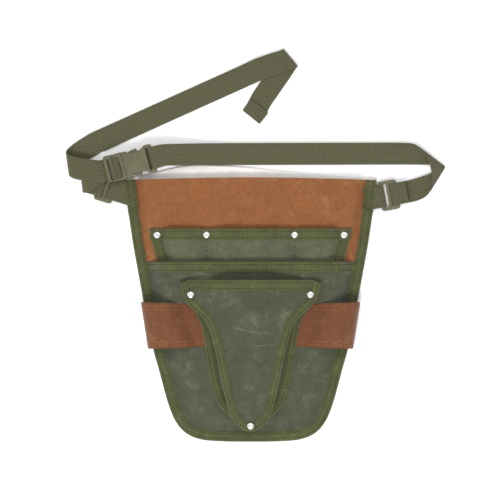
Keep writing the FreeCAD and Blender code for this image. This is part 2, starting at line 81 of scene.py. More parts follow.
# right half of the bag's outline, from above the mouth down to the middle of the bottom
OUTLINE_HALF = [(151.5, 200), (147, 170), (143.2, 147), (138, 108), (132.6, 72), (129.4, 54),
                (125.6, 33), (119.4, 0), (109.6, -47), (104.4, -66), (99.6, -84), (95, -101),
                (90, -116), (84.4, -128), (76, -138.5), (65, -145.2), (52, -148.6), (36, -149.8),
                (18, -150.4), (0, -150.5)]
BACK_TOP = [(-150, 146), (-146, 147), (-118, 152), (-70, 162), (-20, 161), (50, 155),
            (110, 150), (146, 148), (150, 147)]
FRONT_TOP = [(-150, 146.3), (-75, 148.6), (0, 149.5), (75, 148.6), (150, 146.3)]
# base seam x and y, front seam x and y, front seam's height, bulge of the front above it
HOLSTER_ROWS = [
    (79.0, 30.0, 79.0, 30.0, 4.7, 14.0), (75.5, 12.0, 72.5, 10.0, 6.5, 12.5),
    (66.0, 1.0, 63.0, -1.0, 9.0, 11.5), (58.5, -10.0, 53.0, -10.0, 11.5, 10.5),
    (54.0, -23.0, 46.5, -21.0, 13.0, 9.5), (51.0, -40.0, 41.7, -37.0, 13.5, 8.5),
    (48.5, -58.0, 37.0, -55.0, 13.5, 7.5), (44.4, -81.0, 32.0, -81.0, 13.0, 6.5),
    (37.0, -105.5, 25.8, -108.0, 11.0, 4.5), (28.0, -117.0, 22.5, -119.0, 9.5, 3.0),
    (17.5, -126.0, 14.5, -130.5, 8.0, 1.5), (6.0, -132.0, 5.0, -137.5, 7.0, 0.3),
]
CAMERA_HEIGHT, FIELD = 2.8, 0.570


# ---- plain mathematics ------------------------------------------------------------------------
def smooth(points, per=8):
    """A soft line through points, with per steps between each two."""
    p = np.asarray(points, float)
    q = np.vstack([2 * p[0] - p[1], p, 2 * p[-1] - p[-2]])
    made = []
    for a, b, c, d in zip(q, q[1:], q[2:], q[3:]):
        for t in np.arange(per) / per:
            made.append(0.5 * (2 * b + (c - a) * t + (2 * a - 5 * b + 4 * c - d) * t * t
                               + (3 * b - a - 3 * c + d) * t ** 3))
    return np.array(made + [p[-1]])


def lengths(line):
    """How far along a line each of its points is."""
    return np.concatenate([[0], np.cumsum(np.linalg.norm(np.diff(line, axis=0), axis=1))])


def resampled(line, count):
    """A line again, as count evenly spaced points."""
    s = lengths(line)
    t = np.linspace(0, s[-1], count)
    return np.column_stack([np.interp(t, s, line[:, k]) for k in range(line.shape[1])])


def even(line, step):
    """A line again, with points an even step apart."""
    return resampled(line, max(2, int(round(lengths(line)[-1] / step)) + 1))


def unit(vectors):
    """Vectors along the last axis, each 1 long."""
    return vectors / (np.linalg.norm(vectors, axis=-1, keepdims=True) + 1e-12)


def upward(heights):
    """Shifts straight up."""
    return np.column_stack([heights * 0, heights * 0, heights])


def ease(t):
    """0 to 1 with a soft start and a soft end."""
    t = np.clip(t, 0, 1)
    return t * t * (3 - 2 * t)


def ripple(x, y, size, seed, count=7):
    """A soft random surface of about -1 to 1, with waves around size across."""
    rng = np.random.default_rng(seed)
    total = np.zeros(np.broadcast(x, y).shape)
    for _ in range(count):
        turn, phase, scale = rng.uniform(0, 2 * math.pi, 2).tolist() + [rng.uniform(0.7, 1.6)]
        wave = 2 * math.pi / (size * scale)
        total += np.sin((x * math.cos(turn) + y * math.sin(turn)) * wave + phase)
    return total / count ** 0.5


def creases(x, y, size, seed):
    """Sharp soft-sided folds, as waxed cloth keeps them: 0 between, 1 along each fold."""
    bend = ripple(x, y, size * 0.7, seed + 50) * 0.5
    lines = np.abs(ripple(x, y, size, seed, 4) + bend)
    where = ease((ripple(x, y, size * 1.7, seed + 90) + 0.2) * 1.2)
    return np.clip(1 - lines * 5, 0, 1) ** 1.5 * where


RIGHT_EDGE = smooth(OUTLINE_HALF, 10)
OUTLINE = even(np.vstack([RIGHT_EDGE * (-1, 1), RIGHT_EDGE[-2::-1]]), 2.5)


def half_width(y):
    return np.interp(y, RIGHT_EDGE[::-1, 1], RIGHT_EDGE[::-1, 0])


def inset(x, y):
    """How far inside the bag's edge a place is."""
    x, y = np.broadcast_arrays(x, y)
    flat = np.column_stack([x.ravel(), y.ravel()])
    near = np.full(len(flat), 1e9)
    for px, py in OUTLINE:
        near = np.minimum(near, (flat[:, 0] - px) ** 2 + (flat[:, 1] - py) ** 2)
    inside = np.abs(flat[:, 0]) < half_width(flat[:, 1])
    return (np.sqrt(near) * np.where(inside, 1, -1)).reshape(x.shape)


# ---- the surfaces that the cloth follows: height of each layer's underside --------------------
def lerp(a, b, t):
    return a + (b - a) * t


def calm(x, y):
    """0 at a rivet, where the cloth is pressed flat, and 1 away from it."""
    still = 1.0
    for rx, ry in UPPER_RIVETS + HOLSTER_RIVETS:
        still = still * ease((np.hypot(x - rx, y - ry) - 4) / 9)
    return still


def back_under(x, y):
    return lerp(SEAM_BACK, 0.0, ease((inset(x, y) - SEAM_W) / 8))


def lining_under(x, y):
    return lerp(SEAM_LINING, CANVAS, ease((inset(x, y) - SEAM_W) / 8))


def front_under(x, y):
    t = ease((inset(x, y) - SEAM_W + 1) / 12)
    wave = 0.55 * ripple(x, y, 85, 3) + 0.22 * ripple(x, y, 34, 4) + 0.5 * creases(x, y, 60, 5)
    return lerp(SEAM_FRONT, 7.0 + 0.02 * y + wave * calm(x, y), t)


def pocket_side(y):
    """Half the upper pocket's width."""
    return 88 + (y + 20) * 53 / 220


def upper_under(x, y):
    x, y = np.broadcast_arrays(x, y)
    a = np.abs(x)
    side = (pocket_side(y) - a) * 0.972 - SEAM_W
    divider = 0.55 + 0.45 * ease((np.abs(a - DIVIDER_X) - 1.5) / 9)
    rise = ease(side / 11 + 0.02) * divider * ease((y + 20 - SEAM_W) / 14)
    wave = 0.4 * ripple(x, y, 40, 11) + 0.5 * creases(x, y, 42, 12)
    seam = front_under(x, y) + CANVAS + TAPE
    return seam + np.maximum(0, 12.0 + 0.0491 * y + wave * calm(x, y) - seam) * rise


def lower_under(x, y):
    d = inset(x, y)
    t = np.clip(np.minimum((d - SEAM_W) / 18, (y + 150.5 - SEAM_W) / 13), 0, 1)
    t = ease(t + 0.35 * t * (1 - t))
    wave = 0.7 * ripple(x, y, 70, 21) + 0.3 * ripple(x, y, 30, 22) + 0.8 * creases(x, y, 55, 23)
    return lerp(SEAM_LOWER, 19.2 + 0.0578 * y + wave * 0.6, t)


def pocket_top(y):
    """The level of the lower pocket's face, which the holster is sewn to."""
    return 19.2 + CANVAS + 0.0578 * y


# ---- meshes -------------------------------------------------------------------------------------
def add_mesh(name, points, faces, uvs=None, material=None, flat=False):
    """A mesh object from points in millimetres. uvs holds one (u, v) in millimetres a point."""
    data = bpy.data.meshes.new(name)
    data.from_pydata((np.asarray(points) * 0.001).tolist(), [], [list(f) for f in faces])
    if uvs is not None:
        layer = data.uv_layers.new(name="cloth")
        corner = np.empty(len(data.loops), np.int32)
        data.loops.foreach_get("vertex_index", corner)
        layer.data.foreach_set("uv", (np.asarray(uvs)[corner] * 0.001).ravel())
    data.validate()
    sorted_out = bmesh.new()
    sorted_out.from_mesh(data)
    bmesh.ops.recalc_face_normals(sorted_out, faces=sorted_out.faces)
    sorted_out.to_mesh(data)
    sorted_out.free()
    made = bpy.data.objects.new(name, data)
    bpy.context.scene.collection.objects.link(made)
    if not flat:
        data.shade_smooth()
        data.set_sharp_from_angle(angle=math.radians(48))
    if material:
        data.materials.append(material)
    return made


def grid_faces(rows, cols, first=0, around=False, flip=False):
    """Quads of a grid of points; around joins the last column to the first."""
    faces = []
    for r in range(rows - 1):
        for c in range(cols if around else cols - 1):
            a, b = first + r * cols + c, first + r * cols + (c + 1) % cols
            quad = (a, b, b + cols, a + cols)
            faces.append(quad[::-1] if flip else quad)
    return faces


def rim_faces(ring, shift):
    return [(b, a, a + shift, b + shift) for a, b in zip(ring, ring[1:] + ring[:1])]


def face_of(grid):
    """Which way a grid of points faces, at each of them."""
    return unit(np.cross(np.gradient(grid, axis=1), np.gradient(grid, axis=0)))


def joined(shapes):
    """The points and faces of several shapes as one."""
    points, faces = [], []
    for more, quads in shapes:
        faces += [tuple(i + len(points) for i in face) for face in quads]
        points += more
    return points, faces


def cloth(name, under, thick, material, uvs=None):
    """A closed piece of cloth. under: a grid of points on its underside, rows by columns."""
    rows, cols, _ = under.shape
    low = under.reshape(-1, 3)
    high = (under + face_of(under) * thick).reshape(-1, 3)
    n = rows * cols
    ring = (list(range(cols)) + [r * cols + cols - 1 for r in range(1, rows)]
            + [(rows - 1) * cols + c for c in range(cols - 2, -1, -1)]
            + [r * cols for r in range(rows - 2, 0, -1)])
    faces = grid_faces(rows, cols) + grid_faces(rows, cols, n) + rim_faces(ring, n)
    flat_uv = low[:, :2] if uvs is None else uvs.reshape(-1, 2)
    return add_mesh(name, np.vstack([low, high]), faces, np.vstack([flat_uv, flat_uv]), material)


def sweep(name, rings, material, uvs=None):
    """A closed solid through equal rings of points, with its ends filled."""
    count, size, _ = rings.shape
    faces = grid_faces(count, size, around=True)
    faces += [tuple(range(size))[::-1], tuple((count - 1) * size + k for k in range(size))]
    flat_uv = None if uvs is None else uvs.reshape(-1, 2)
    return add_mesh(name, rings.reshape(-1, 3), faces, flat_uv, material)


def panel(name, under, thick, material, top, y0=-149.0, sides=None, rows=150, cols=141, step=1.0):
    """A panel as wide as the bag inside its tape. top: its upper edge, as points or a height."""
    u = np.linspace(-1, 1, cols)[None, :]
    v = (np.linspace(0, 1, rows)[:, None]) ** 0.85
    line = np.array(top, float) if not np.isscalar(top) else np.array([(-160, top), (160, top)])
    if len(line) > 2:
        line = smooth(line, 8)
    y = y0 + v * (np.interp(u * 143.5, line[:, 0], line[:, 1]) - y0)
    wide = sides(y) if sides else half_width(y) - step
    x = u * wide
    return cloth(name, np.dstack([x, y, under(x, y)]), thick, material)


def inward(line, passes=0):
    """Flat inward normals of a seam line that runs down the left, round and up the right."""
    run = unit(np.gradient(line[:, :2], axis=0))
    normal = np.column_stack([-run[:, 1], run[:, 0]])
    for _ in range(passes):
        normal[1:-1] = (normal[:-2] + 2 * normal[1:-1] + normal[2:]) / 4
    return unit(normal) if passes else normal


def folded_tape(name, place, width, inner, seed, puff=0.35, under=True):
    """Binding tape folded over an edge, and a function that gives the lines along its top.
    place(d) gives points on the underside of what it holds, d in from the edge, and inner is
    the thickness of what it holds. Without under, the tape only lies on top."""
    edge = place(0.0)
    out = edge - place(1.5)
    out[:, 2] = 0
    out = unit(out)
    s = lengths(edge)
    wave = 0.2 * ripple(s, s * 0, 23, seed) + 0.1 * ripple(s, s * 0, 7, seed + 1)
    wide = width + 0.3 * ripple(s, s * 0, 31, seed + 2)
    over = [(1.0, 0.3), (0.985, 0.75), (0.93, 1.0), (0.84, 0.93), (0.7, 1.15), (0.5, 1.25),
            (0.3, 1.15), (0.17, 0.95), (0.08, 1.02)]
    rings = []
    for w, h in over:
        base = place_varied(place, wide * w)
        soft = calm(base[:, 0], base[:, 1])
        loose = puff * max(0, h - 0.9) / 0.35 + wave * (1 - w) * 0.6
        rings.append(base + upward(inner + TAPE * min(1, h) + soft * loose))
    top = np.stack(rings[2:], axis=1)
    reach = [w for w, _ in over[2:]]
    wall = [(-0.35, inner + TAPE * 0.6), (-TAPE, inner * 0.72), (-TAPE, inner * 0.28),
            (-0.35, -TAPE * 0.6)]
    for d, h in wall:
        rings.append(edge - out * d + upward(h + wave * 0.2))
    low = -TAPE if under else 0.0
    for w, h in ((0.08, low), (0.5, low), (0.93, low), (1.0, low * 0.5), (0.98, -0.03), (0.1, 0),
                 (0.1, inner - 0.02), (0.98, inner - 0.02)):
        rings.append(place_varied(place, wide * w) + np.array([0, 0, h]))
    rings = np.stack(rings, axis=1)
    span = np.linalg.norm(np.diff(rings, axis=1), axis=2)
    v = np.concatenate([np.zeros((len(s), 1)), np.cumsum(span, axis=1)], axis=1)
    uvs = np.dstack([np.repeat(s[:, None], rings.shape[1], 1), v])

    def line(d):
        w = np.clip(d / width, reach[-1], reach[0])
        k = next(i for i in range(len(reach) - 1) if reach[i] >= w >= reach[i + 1])
        return lerp(top[:, k], top[:, k + 1], (reach[k] - w) / (reach[k] - reach[k + 1]))

    return sweep(name, rings, finish_of("twill_binding"), uvs), line


def place_varied(place, d):
    """place(d) for a d that changes along the line."""
    low, high = place(float(d.min())), place(float(d.max()))
    span = max(1e-9, float(d.max() - d.min()))
    return low + (high - low) * ((d - d.min()) / span)[:, None]


def stitch_points(line, up, length, gap, radius, sink=0.15):
    """Points and faces of a row of stitches laid along a line."""
    s = lengths(line)
    count = max(1, int(s[-1] // (length + gap)))
    starts = (np.arange(count) + 0.5) * s[-1] / count
    points, faces = [], []
    shape = [(-0.5, 0.3), (-0.36, 0.85), (0, 1.0), (0.36, 0.85), (0.5, 0.3)]
    for at in starts:
        ends = [np.array([np.interp(at + k * length, s, line[:, j]) for j in range(3)])
                for k in (-0.5, 0.5)]
        run = unit(ends[1] - ends[0])
        i = min(len(up) - 1, int(np.searchsorted(s, at)))
        lift = unit(up[i] - run * np.dot(up[i], run))
        side = np.cross(run, lift)
        middle = (ends[0] + ends[1]) / 2 + lift * (radius - sink)
        first = len(points)
        for along, fat in shape:
            dip = -radius * 1.6 * (2 * along) ** 4
            for k in range(6):
                a = math.pi * k / 3
                points.append(middle + run * (along * length) + lift * dip
                              + (side * math.cos(a) + lift * math.sin(a)) * radius * fat)
        faces += grid_faces(len(shape), 6, first, around=True)
        faces += [tuple(first + k for k in range(6))[::-1],
                  tuple(first + (len(shape) - 1) * 6 + k for k in range(6))]
    return points, faces


def stitches(name, rows, material, length, gap, radius):
    """One mesh of all the stitches along several lines. rows: (line, up) pairs."""
    shapes = []
    for line, up in rows:
        line = even(np.asarray(line, float), 1.5)
        ups = np.tile(np.asarray(up, float), (len(line), 1)) if np.ndim(up) == 1 else up
        shapes.append(stitch_points(line, ups, length, gap, radius))
    return add_mesh(name, *joined(shapes), None, material)


UP = (0.0, 0.0, 1.0)


def lathe(profile, centre, sides=36):
    """Points and faces of a turned shape standing on centre."""
    points = [(centre[0] + r * math.cos(2 * math.pi * k / sides),
               centre[1] + r * math.sin(2 * math.pi * k / sides), centre[2] + z)
              for r, z in profile for k in range(sides)]
    faces = grid_faces(len(profile), sides, around=True)
    faces += [tuple(range(sides))[::-1],
              tuple((len(profile) - 1) * sides + k for k in range(sides))]
    return points, faces


# ---- shading ------------------------------------------------------------------------------------
class Wire:
    """The output of a shader node. Arithmetic on wires adds Math nodes."""

    def __init__(self, paint, socket):
        self.paint, self.socket = paint, socket

    def math(self, operation, *values):
        return self.paint.node("Math", {"operation": operation}, dict(enumerate(values)))

    def __add__(self, other):
        return self.math("ADD", self, other)

    def __sub__(self, other):
        return self.math("SUBTRACT", self, other)

    def __rsub__(self, other):
        return self.math("SUBTRACT", other, self)

    def __mul__(self, other):
        return self.math("MULTIPLY", self, other)

    def __abs__(self):
        return self.math("ABSOLUTE", self)

    __radd__, __rmul__ = __add__, __mul__

    def wave(self, pitch):
        """A sine wave of -1 to 1 that repeats after each pitch."""
        return self.math("SINE", self * (2 * math.pi / pitch))

    def between(self, low, high):
        """0 at low, 1 at high, and kept inside 0 to 1."""
        return self.paint.node("MapRange", {"interpolation_type": "SMOOTHSTEP"},
                               {"Value": self, "From Min": low, "From Max": high}, "Result")


class Paint:
    """A material that is being made: nodes are added by type, settings and socket values."""

    def __init__(self, name):
        self.material = bpy.data.materials.new(name)
        self.material.use_nodes = True
        self.tree = self.material.node_tree
        self.shader = next(n for n in self.tree.nodes if n.type == "BSDF_PRINCIPLED")

    def node(self, kind, settings=None, sockets=None, out=0):
        made = self.tree.nodes.new("ShaderNode" + kind)
        for key, value in (settings or {}).items():
            setattr(made, key, value)
        for key, value in (sockets or {}).items():
            self.feed(made.inputs[key], value)
        return Wire(self, made.outputs[out])

    def feed(self, socket, value):
        if isinstance(value, Wire):
            self.tree.links.new(value.socket, socket)
        else:
            socket.default_value = value

    def place(self, kind="UV"):
        return self.node("TexCoord", out=kind)

    def noise(self, place, scale, detail=3.0, rough=0.5, distortion=0.0, stretch=None):
        if stretch:
            place = self.node("Mapping", {}, {"Vector": place, "Scale": stretch})
        return self.node("TexNoise", {}, {"Vector": place, "Scale": scale, "Detail": detail,
                                          "Roughness": rough, "Distortion": distortion})

    def mix(self, factor, a, b):
        return self.node("Mix", {"data_type": "RGBA"}, {0: factor, 6: a, 7: b}, 2)

    def tones(self, cloud, low, high, colour, dark, light):
        """A colour, darker where a cloud is low and lighter where it is high."""
        return self.mix(cloud.between(low, high), shade(colour, dark), shade(colour, light))

    def split(self, place):
        made = self.node("SeparateXYZ", {}, {0: place})
        return made, Wire(self, made.socket.node.outputs[1])

    def done(self, colour, rough, height=None, deep=0.0003, **fixed):
        self.feed(self.shader.inputs["Base Color"], colour)
        self.feed(self.shader.inputs["Roughness"], rough)
        if height is not None:
            bump = self.node("Bump", {}, {"Height": height, "Strength": 1.0, "Distance": deep},
                             "Normal")
            self.feed(self.shader.inputs["Normal"], bump)
        for key, value in fixed.items():
            self.feed(self.shader.inputs[key.replace("_", " ")], value)
        return self.material


def shade(colour, by):
    return tuple(min(1.0, c * by) for c in colour[:3]) + (1.0,)


def linear(red, green, blue):
    """A screen colour of 0 to 255 a channel as the light it stands for."""
    return tuple((c / 255 / 12.92) if c < 10.3 else ((c / 255 + 0.055) / 1.055) ** 2.4
                 for c in (red, green, blue)) + (1.0,)


def waxed_canvas(name, colour, pale, worn=1.0, nap=1.0, cloudy=1.0):
    """Waxed canvas: cloudy, finely speckled, with pale scuffs along its folds."""
    paint = Paint(name)
    at = paint.place()
    cloud = paint.noise(at, 26, 4, 0.6)
    mottle = paint.noise(at, 120, 5, 0.7)
    speck = paint.noise(at, 900, 3, 0.8)
    level = abs(paint.noise(at, 12, 1.0, 0.5, 0.0, (0.3, 3.4, 1)) - 0.5)
    upright = abs(paint.noise(at, 12, 1.0, 0.5, 0.0, (2.8, 0.35, 1)) - 0.5)
    where = paint.noise(at, 15, 2).between(0.52, 0.68)
    where_up = paint.noise(at, 19, 2, 0.5, 0, (1, 1.3, 1)).between(0.58, 0.7)
    scuff = ((1 - level.between(0.0, 0.014)) * where * 0.4
             + (1 - upright.between(0.0, 0.012)) * where_up * 0.3) * mottle.between(0.25, 0.6)
    haze = paint.noise(at, 38, 6, 0.75).between(0.5, 0.8)
    fleck = paint.noise(at, 520, 4, 0.8).between(0.56, 0.74)
    u, v = paint.split(at)
    weave = u.wave(0.00105) * v.wave(0.00095)
    base = paint.tones(cloud, 0.3, 0.7, colour, 1 - 0.24 * cloudy, 1 + 0.22 * cloudy)
    base = paint.mix(mottle.between(0.35, 0.65) * 0.45, base, shade(colour, 0.62))
    base = paint.mix(speck.between(0.35, 0.7) * 0.6, base, shade(colour, 0.5))
    base = paint.mix(fleck * 0.5, base, pale)
    base = paint.mix(haze * 0.42 * worn, base, pale)
    base = paint.mix(scuff * worn, base, pale)
    height = weave * 0.35 + speck * 0.9 + mottle * 0.7 * nap - scuff * 0.5
    return paint.done(base, 0.62 + mottle * 0.25 - haze * 0.1, height, 0.00028,
                      Sheen_Weight=0.12, Sheen_Roughness=0.5)


def twill_tape(name, colour, pale):
    """Twill tape: fine slanting ribs, uneven dye and lighter rubbed places."""
    paint = Paint(name)
    at = paint.place()
    u, v = paint.split(at)
    rib = (u + v * 0.9).wave(0.0013)
    cloud = paint.noise(at, 45, 4, 0.6)
    speck = paint.noise(at, 1100, 2, 0.7)
    rub = paint.noise(at, 160, 4, 0.7).between(0.5, 0.75)
    base = paint.tones(cloud, 0.3, 0.7, colour, 0.8, 1.14)
    base = paint.mix(rib.between(-1, 1) * 0.28, base, shade(colour, 0.55))
    base = paint.mix(rub * 0.35, base, pale)
    return paint.done(base, 0.78 + speck * 0.15, rib * 0.5 + speck * 0.8 + cloud, 0.0003,
                      Sheen_Weight=0.15, Sheen_Roughness=0.45)


def belt_webbing(name, colour, pale):
    """Woven webbing: ribs across, a herringbone within them and firmer edges."""
    paint = Paint(name)
    at = paint.place()
    u, v = paint.split(at)
    rib = u.wave(0.0021)
    warp = v.wave(0.0019)
    slant = (u + v).wave(0.0027) * (u - v).wave(0.0027)
    cloud = paint.noise(at, 30, 3, 0.6)
    fuzz = paint.noise(at, 800, 3, 0.8)
    stripe = v.wave(0.0083)
    base = paint.tones(cloud, 0.3, 0.7, colour, 0.78, 1.2)
    base = paint.mix((rib * 0.5 + warp * 0.3 + 0.5).between(0.0, 1.0) * 0.4, shade(colour, 0.62),
                     base)
    base = paint.mix(0.3 + fuzz.between(0.3, 0.7) * 0.7, base, paint.mix(
        slant.between(-0.6, 0.6), shade(colour, 0.8), pale))
    height = rib * 0.5 + warp * 0.35 + slant * 0.5 + fuzz * 0.6 + stripe * 0.1
    return paint.done(base, 0.7 + fuzz * 0.2, height, 0.00035,
                      Sheen_Weight=0.2, Sheen_Roughness=0.4)


def cotton_lining(name, colour):
    """Plain off-white cotton with soft creases."""
    paint = Paint(name)
    at = paint.place()
    u, v = paint.split(at)
    weave = u.wave(0.0007) * v.wave(0.0007)
    cloud = paint.noise(at, 30, 4, 0.6)
    base = paint.tones(cloud, 0.35, 0.7, colour, 0.9, 1.04)
    return paint.done(base, 0.85 + cloud * 0.1, weave * 0.3 + cloud * 1.5, 0.0004,
                      Sheen_Weight=0.1)


def moulded_plastic(name, colour, pale):
    """Satin moulded plastic with a fine grain and rubbed high places."""
    paint = Paint(name)
    at = paint.place("Object")
    grain = paint.noise(at, 1500, 3, 0.6)
    cloud = paint.noise(at, 60, 3, 0.5)
    nicks = abs(paint.noise(at, 140, 2, 0.5, 0.8) - 0.5).between(0.0, 0.02)
    base = paint.tones(cloud, 0.35, 0.65, colour, 0.9, 1.08)
    base = paint.mix((1 - nicks) * 0.25, base, pale)
    return paint.done(base, 0.42 + grain * 0.18, grain + nicks * 0.2, 0.00008,
                      Specular_IOR_Level=0.5)


def bright_chrome(name, colour):
    """Polished plate with hairline scratches."""
    paint = Paint(name)
    at = paint.place("Object")
    hair = paint.noise(at, 400, 2, 0.5, stretch=(1, 9, 3))
    spots = paint.noise(at, 900, 2, 0.6).between(0.6, 0.75)
    base = paint.mix(spots * 0.5, colour, shade(colour, 0.6))
    return paint.done(base, 0.13 + hair * 0.14 + spots * 0.15, hair, 0.00004, Metallic=1.0)


def sewing_thread(name, colour, pale):
    """Thick spun thread."""
    paint = Paint(name)
    at = paint.place("Object")
    twist = paint.noise(at, 1600, 2, 0.6)
    base = paint.mix(twist.between(0.35, 0.65), colour, pale)
    return paint.done(base, 0.6 + twist * 0.2, twist, 0.0001)


def pale_floor(name, colour):
    """A plain pale table top."""
    paint = Paint(name)
    at = paint.place("Object")
    cloud = paint.noise(at, 3, 2)
    base = paint.mix(cloud.between(0.3, 0.7) * 0.4, colour, shade(colour, 0.985))
    return paint.done(base, 0.6 + cloud * 0.1)


# ---- what a user may change ---------------------------------------------------------------------
def colour_choice(name, words, red, green, blue):
    return bpy.props.FloatVectorProperty(name=name, description=words, subtype="COLOR", size=4,
                                         min=0, max=1, default=linear(red, green, blue))


def length_choice(name, words, millimetres):
    return bpy.props.FloatProperty(name=name, description=words, unit="LENGTH",
                                   default=millimetres * 0.001, min=0, precision=5)


class BagColours(bpy.types.PropertyGroup):
    """The colours of the bag's cloths, thread and hardware."""
    olive: colour_choice("Olive canvas", "Pockets, holster and back", 70, 73, 51)
    olive_pale: colour_choice("Olive scuffs", "Pale folds in the olive canvas", 136, 137, 108)
    brown: colour_choice("Brown canvas", "Front panel", 143, 84, 34)
    brown_pale: colour_choice("Brown scuffs", "Pale folds in the brown canvas", 188, 140, 92)
    loop: colour_choice("Loop canvas", "The two tool loops", 111, 60, 21)
    tape: colour_choice("Binding tape", "The tape round every edge", 80, 83, 44)
    tape_pale: colour_choice("Rubbed tape", "Lighter places on the tape", 120, 121, 80)
    webbing: colour_choice("Webbing", "Belt and tabs", 77, 76, 48)
    webbing_pale: colour_choice("Webbing nap", "The lighter yarns of the belt", 104, 102, 72)
    lining: colour_choice("Lining", "Cotton inside the main compartment", 250, 247, 243)
    plastic: colour_choice("Plastic", "Buckle and sliders", 88, 85, 58)
    chrome: colour_choice("Chrome", "Rivets", 226, 226, 224)
    thread: colour_choice("Tape thread", "Stitches on the tape", 30, 32, 20)
    loop_thread: colour_choice("Loop thread", "Stitches on the tool loops", 158, 100, 52)
    floor: colour_choice("Floor", "The table under the bag", 255, 255, 255)


class BagSizes(bpy.types.PropertyGroup):
    """Small sizes of the sewing that can be changed without moving a piece."""
    stitch: length_choice("Stitch length", "Length of one stitch", 2.9)
    stitch_gap: length_choice("Stitch gap", "Space between two stitches", 1.3)
    thread: length_choice("Thread radius", "Half the thickness of the thread", 0.4)
    edge_round: length_choice("Edge rounding", "Rounding of the plastic parts' edges", 0.45)
    lamp_power: bpy.props.FloatProperty(name="Lamp power", description="Strength of the lamps",
                                        unit="POWER", default=1.0, min=0)


MATERIALS = {}


def finish_of(key):
    """The material for one of the record's slots, made once."""
    if key not in MATERIALS:
        c = bpy.context.scene.bag_colours
        make, *looks = {
            "fabric_back": (waxed_canvas, "back canvas", c.olive, c.olive_pale, 0.7),
            "olive_waxed_canvas": (waxed_canvas, "olive canvas", c.olive, c.olive_pale),
            # The upper pocket's olive canvas, 1.5 times lighter: painted light that makes up for the
            # shade the render puts on that pocket.
            "upper_canvas": (waxed_canvas, "upper canvas", shade(c.olive, 1.5),
                             shade(c.olive_pale, 1.25)),
            "brown_waxed_canvas": (waxed_canvas, "brown canvas", c.brown, c.brown_pale, 0.8, 1.2,
                                   0.4),
            "brown_loop_canvas": (waxed_canvas, "loop canvas", c.loop, c.brown_pale, 0.7, 1.2, 0.4),
            "twill_binding": (twill_tape, "twill tape", c.tape, c.tape_pale),
            "webbing": (belt_webbing, "belt webbing", c.webbing, c.webbing_pale),
            "cotton_lining": (cotton_lining, "cotton lining", c.lining),
            "olive_plastic": (moulded_plastic, "moulded plastic", c.plastic, c.webbing_pale),
            "chromed_steel": (bright_chrome, "chrome", c.chrome),
            "tape_thread": (sewing_thread, "tape thread", c.thread, shade(c.thread, 1.5)),
            "loop_thread": (sewing_thread, "loop thread", c.loop_thread, shade(c.loop_thread, 0.6)),
            "panel_thread": (sewing_thread, "panel thread", c.olive_pale, c.tape_pale),
            "web_thread": (sewing_thread, "webbing thread", shade(c.webbing, 0.5), c.webbing),
        }[key]
        MATERIALS[key] = make(*looks)
    return MATERIALS[key]


def belongs(piece, slot, *nodes, body="bag"):
    """Puts a piece on its body and hides the CAD nodes that it stands for. The slot is not used."""
    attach(piece, body)
    if nodes:
        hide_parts(*nodes)
    return piece


def sewn(name, rows, thread, slot, body="bag"):
    """Stitches along several lines, riding with what they hold."""
    s = bpy.context.scene.bag_sizes
    piece = stitches(name, rows, finish_of(thread), s.stitch * 1000, s.stitch_gap * 1000,
                     s.thread * 1000)
    return belongs(piece, slot, body=body)


def declare(piece, width, length, held, rests_on):
    """Works out a cloth piece's flat area within the size it was cut to, in millimetres, and passes
    nothing on. Its flat area is half of its skin.
    """
    area = sum(face.area for face in piece.data.polygons) / 2
    width * 0.001
    length * 0.001
    min(area, width * length * 1e-6)


def lay(name, under, top, slot, node, cut, rests_on, thick=CANVAS, finish=None, **shape):
    """A panel on its body."""
    piece = panel(name, under, thick, finish_of(finish or slot), top, **shape)
    belongs(piece, slot, node)
    declare(piece, *cut, "laid", rests_on)
    return piece


def bind(name, place, width, inner, cut, rests_on, nodes, seams, **shape):
    """A tape on its body, and the lines of the stitches that hold it."""
    piece, line = folded_tape(name, place, width, inner, **shape)
    belongs(piece, "twill_binding", *nodes)
    declare(piece, *cut, "folded", rests_on)
    return [(line(d), UP) for d in seams]


# ---- straps -------------------------------------------------------------------------------------
def turned(degrees):
    a = math.radians(degrees)
    return np.array([math.cos(a), math.sin(a), 0.0])


def across(x, y, z, heading, flip=False):
    """A station square across a strap: where its two edges are."""
    half = turned(heading + (-90 if flip else 90)) * (WEB_W / 2)
    return np.array([np.array([x, y, z]) - half, np.array([x, y, z]) + half])


def fold(x, y, heading, cut, z_from, z_to, slip=0.0, steps=6):
    """Stations that roll a strap over a line at the angle cut, from one level to another."""
    line = turned(cut)
    half = line * (WEB_W / 2 / abs(math.sin(math.radians(cut - heading))))
    push = np.array([-line[1], line[0], 0])
    push *= np.sign(np.dot(push, turned(heading)))
    radius, middle = (z_from - z_to) / 2, (z_from + z_to) / 2
    made = []
    for k in range(steps + 1):
        t = math.pi * k / steps
        centre = np.array([x, y, middle + radius * math.cos(t)])
        centre = centre + push * (abs(radius) * math.sin(t)) + line * (slip * k / steps)
        made.append(np.array([centre - half, centre + half]))
    return made


def at(place, u, v, z):
    """A point given in a placed part's own axes."""
    x, y, z0, turn = place
    c, s = math.cos(math.radians(turn)), math.sin(math.radians(turn))
    return (x + u * c - v * s, y + u * s + v * c, z0 + z)


def wrapped(place, u, radius, side, first, second, slack=0.0):
    """Stations to a bar at u, round it on one side, and away. first, second: offset, height."""
    way, steps = (1 if first[1] > 0 else -1), 8
    turns = [math.pi * k / steps for k in range(steps + 1)]
    reach = radius + slack
    spots = [first] + [(side * reach * math.sin(t), way * radius * math.cos(t)) for t in turns]
    return [across(*at(place, u + du, 0, z), place[3] + 180) for du, z in spots + [second]]


def swapped(stations):
    return [station[::-1] for station in stations]


